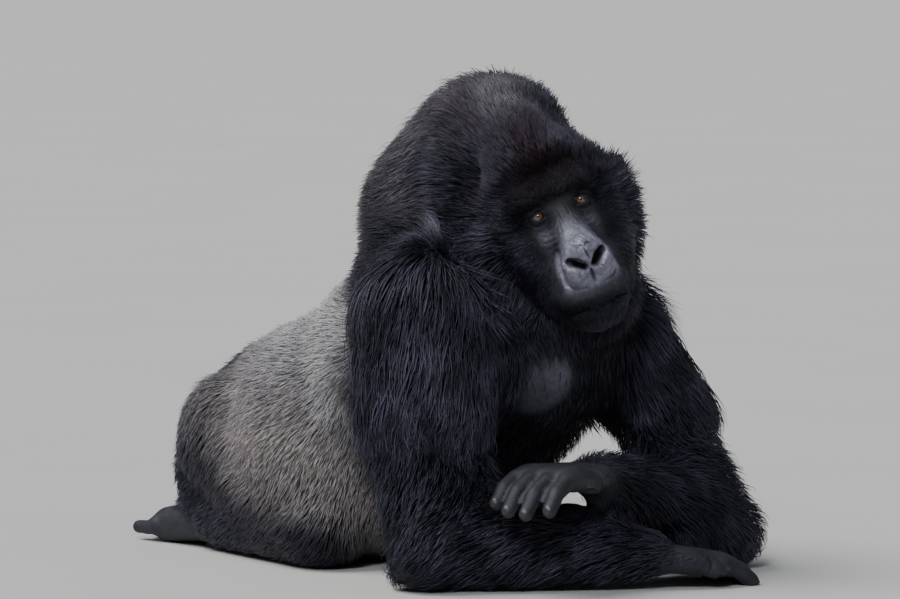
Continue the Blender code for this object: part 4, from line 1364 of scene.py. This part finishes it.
def place(data, right, back, spot):
    """A lamp's or camera's object at a spot, its x axis to the right and its z axis back."""
    piece = bpy.data.objects.new(data.name, data)
    bpy.context.scene.collection.objects.link(piece)
    matrix = np.eye(4)
    matrix[:3] = np.stack([right, np.cross(back, right), back, spot], axis=1)
    piece.matrix_world = Matrix(matrix.tolist())
    return piece


def place_camera():
    """A long lens at the animal's right front, a little above its eye line."""
    right = np.array((math.cos(VIEW_AZIMUTH), math.sin(VIEW_AZIMUTH), 0.0))
    target = MODEL_PLACE + (0.0, -0.05, 0.38)
    beside = right * VIEW_SHIFT[0] + np.cross(TO_VIEWER, right) * VIEW_SHIFT[1]
    data = bpy.data.cameras.new("camera")
    data.lens = VIEW_LENS
    data.sensor_width = VIEW_SENSOR
    data.clip_end = 1000
    bpy.context.scene.camera = place(data, right, TO_VIEWER, target + TO_VIEWER * VIEW_DISTANCE + beside)


def soft_sun(name, way, degrees, power, colour):
    """Broad even light that comes from one side of the sky, spread over an angle."""
    data = bpy.data.lights.new(name, "SUN")
    data.angle = math.radians(degrees)
    data.energy = power
    data.color = colour
    back = unit(np.array(way))
    place(data, unit(np.cross(UP, back)), back, 4 * back)


def set_stage():
    """The floor, the soft lamps and the pale surroundings."""
    corners = 150.0 * np.array([(-1, -1, 0), (1, -1, 0), (1, 1, 0), (-1, 1, 0)])
    floor = mesh_object("floor", corners, np.array([(0, 1, 2, 3)]))
    floor.data.materials.append(floor_material())
    soft_sun("key", (-0.46, 0.24, 0.85), 34, 3.1, (1.0, 0.99, 0.97))
    soft_sun("front", (-0.66, -0.52, 0.62), 16, 1.75, (0.95, 0.97, 1.0))
    world = bpy.data.worlds.new("surroundings")
    world.use_nodes = True
    background = next(n for n in world.node_tree.nodes if n.type == "BACKGROUND")
    background.inputs["Color"].default_value = (0.86, 0.90, 1.0, 1.0)
    background.inputs["Strength"].default_value = 0.22
    bpy.context.scene.world = world


def main():
    """Makes and hands over every piece, then the stage and the camera."""
    points, triangles, outer, shares = make_skin()
    skin = mesh_object("skin", points, triangles)
    for key, values in {**markings(points, shares), **skin_masks(points, shares)}.items():
        set_attribute(skin, key, values)
    skin.data.materials.append(skin_material())
    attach(skin, "root")
    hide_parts(*FLESH)
    eye_look = eye_material()
    for side, node in ((-1, "eye_right"), (1, "eye_left")):
        eye = make_eye(side)
        eye.data.materials.append(eye_look)
        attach(eye, "root")
        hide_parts(node)
        ear = make_ear(side)
        ear.data.materials.append(skin.data.materials[0])
        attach(ear, "root")
        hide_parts(node.replace("eye", "ear"))
    brow_look = coat_material("soft_brow_hair", 0.60, 0.22)
    looks = {"brown_black_coat": coat_material("brown_black_hair", 0.42),
             "silver_coat": coat_material("silver_hair", 0.48),
             "black_coat": coat_material("black_hair", 0.38)}
    for piece, slot in grow_coat(points, triangles, outer, shares):
        piece.data.materials.append(brow_look if piece.name == "coat_brow" else looks[slot])
        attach(piece, "root")
    set_stage()
    place_camera()
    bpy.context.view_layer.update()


main()
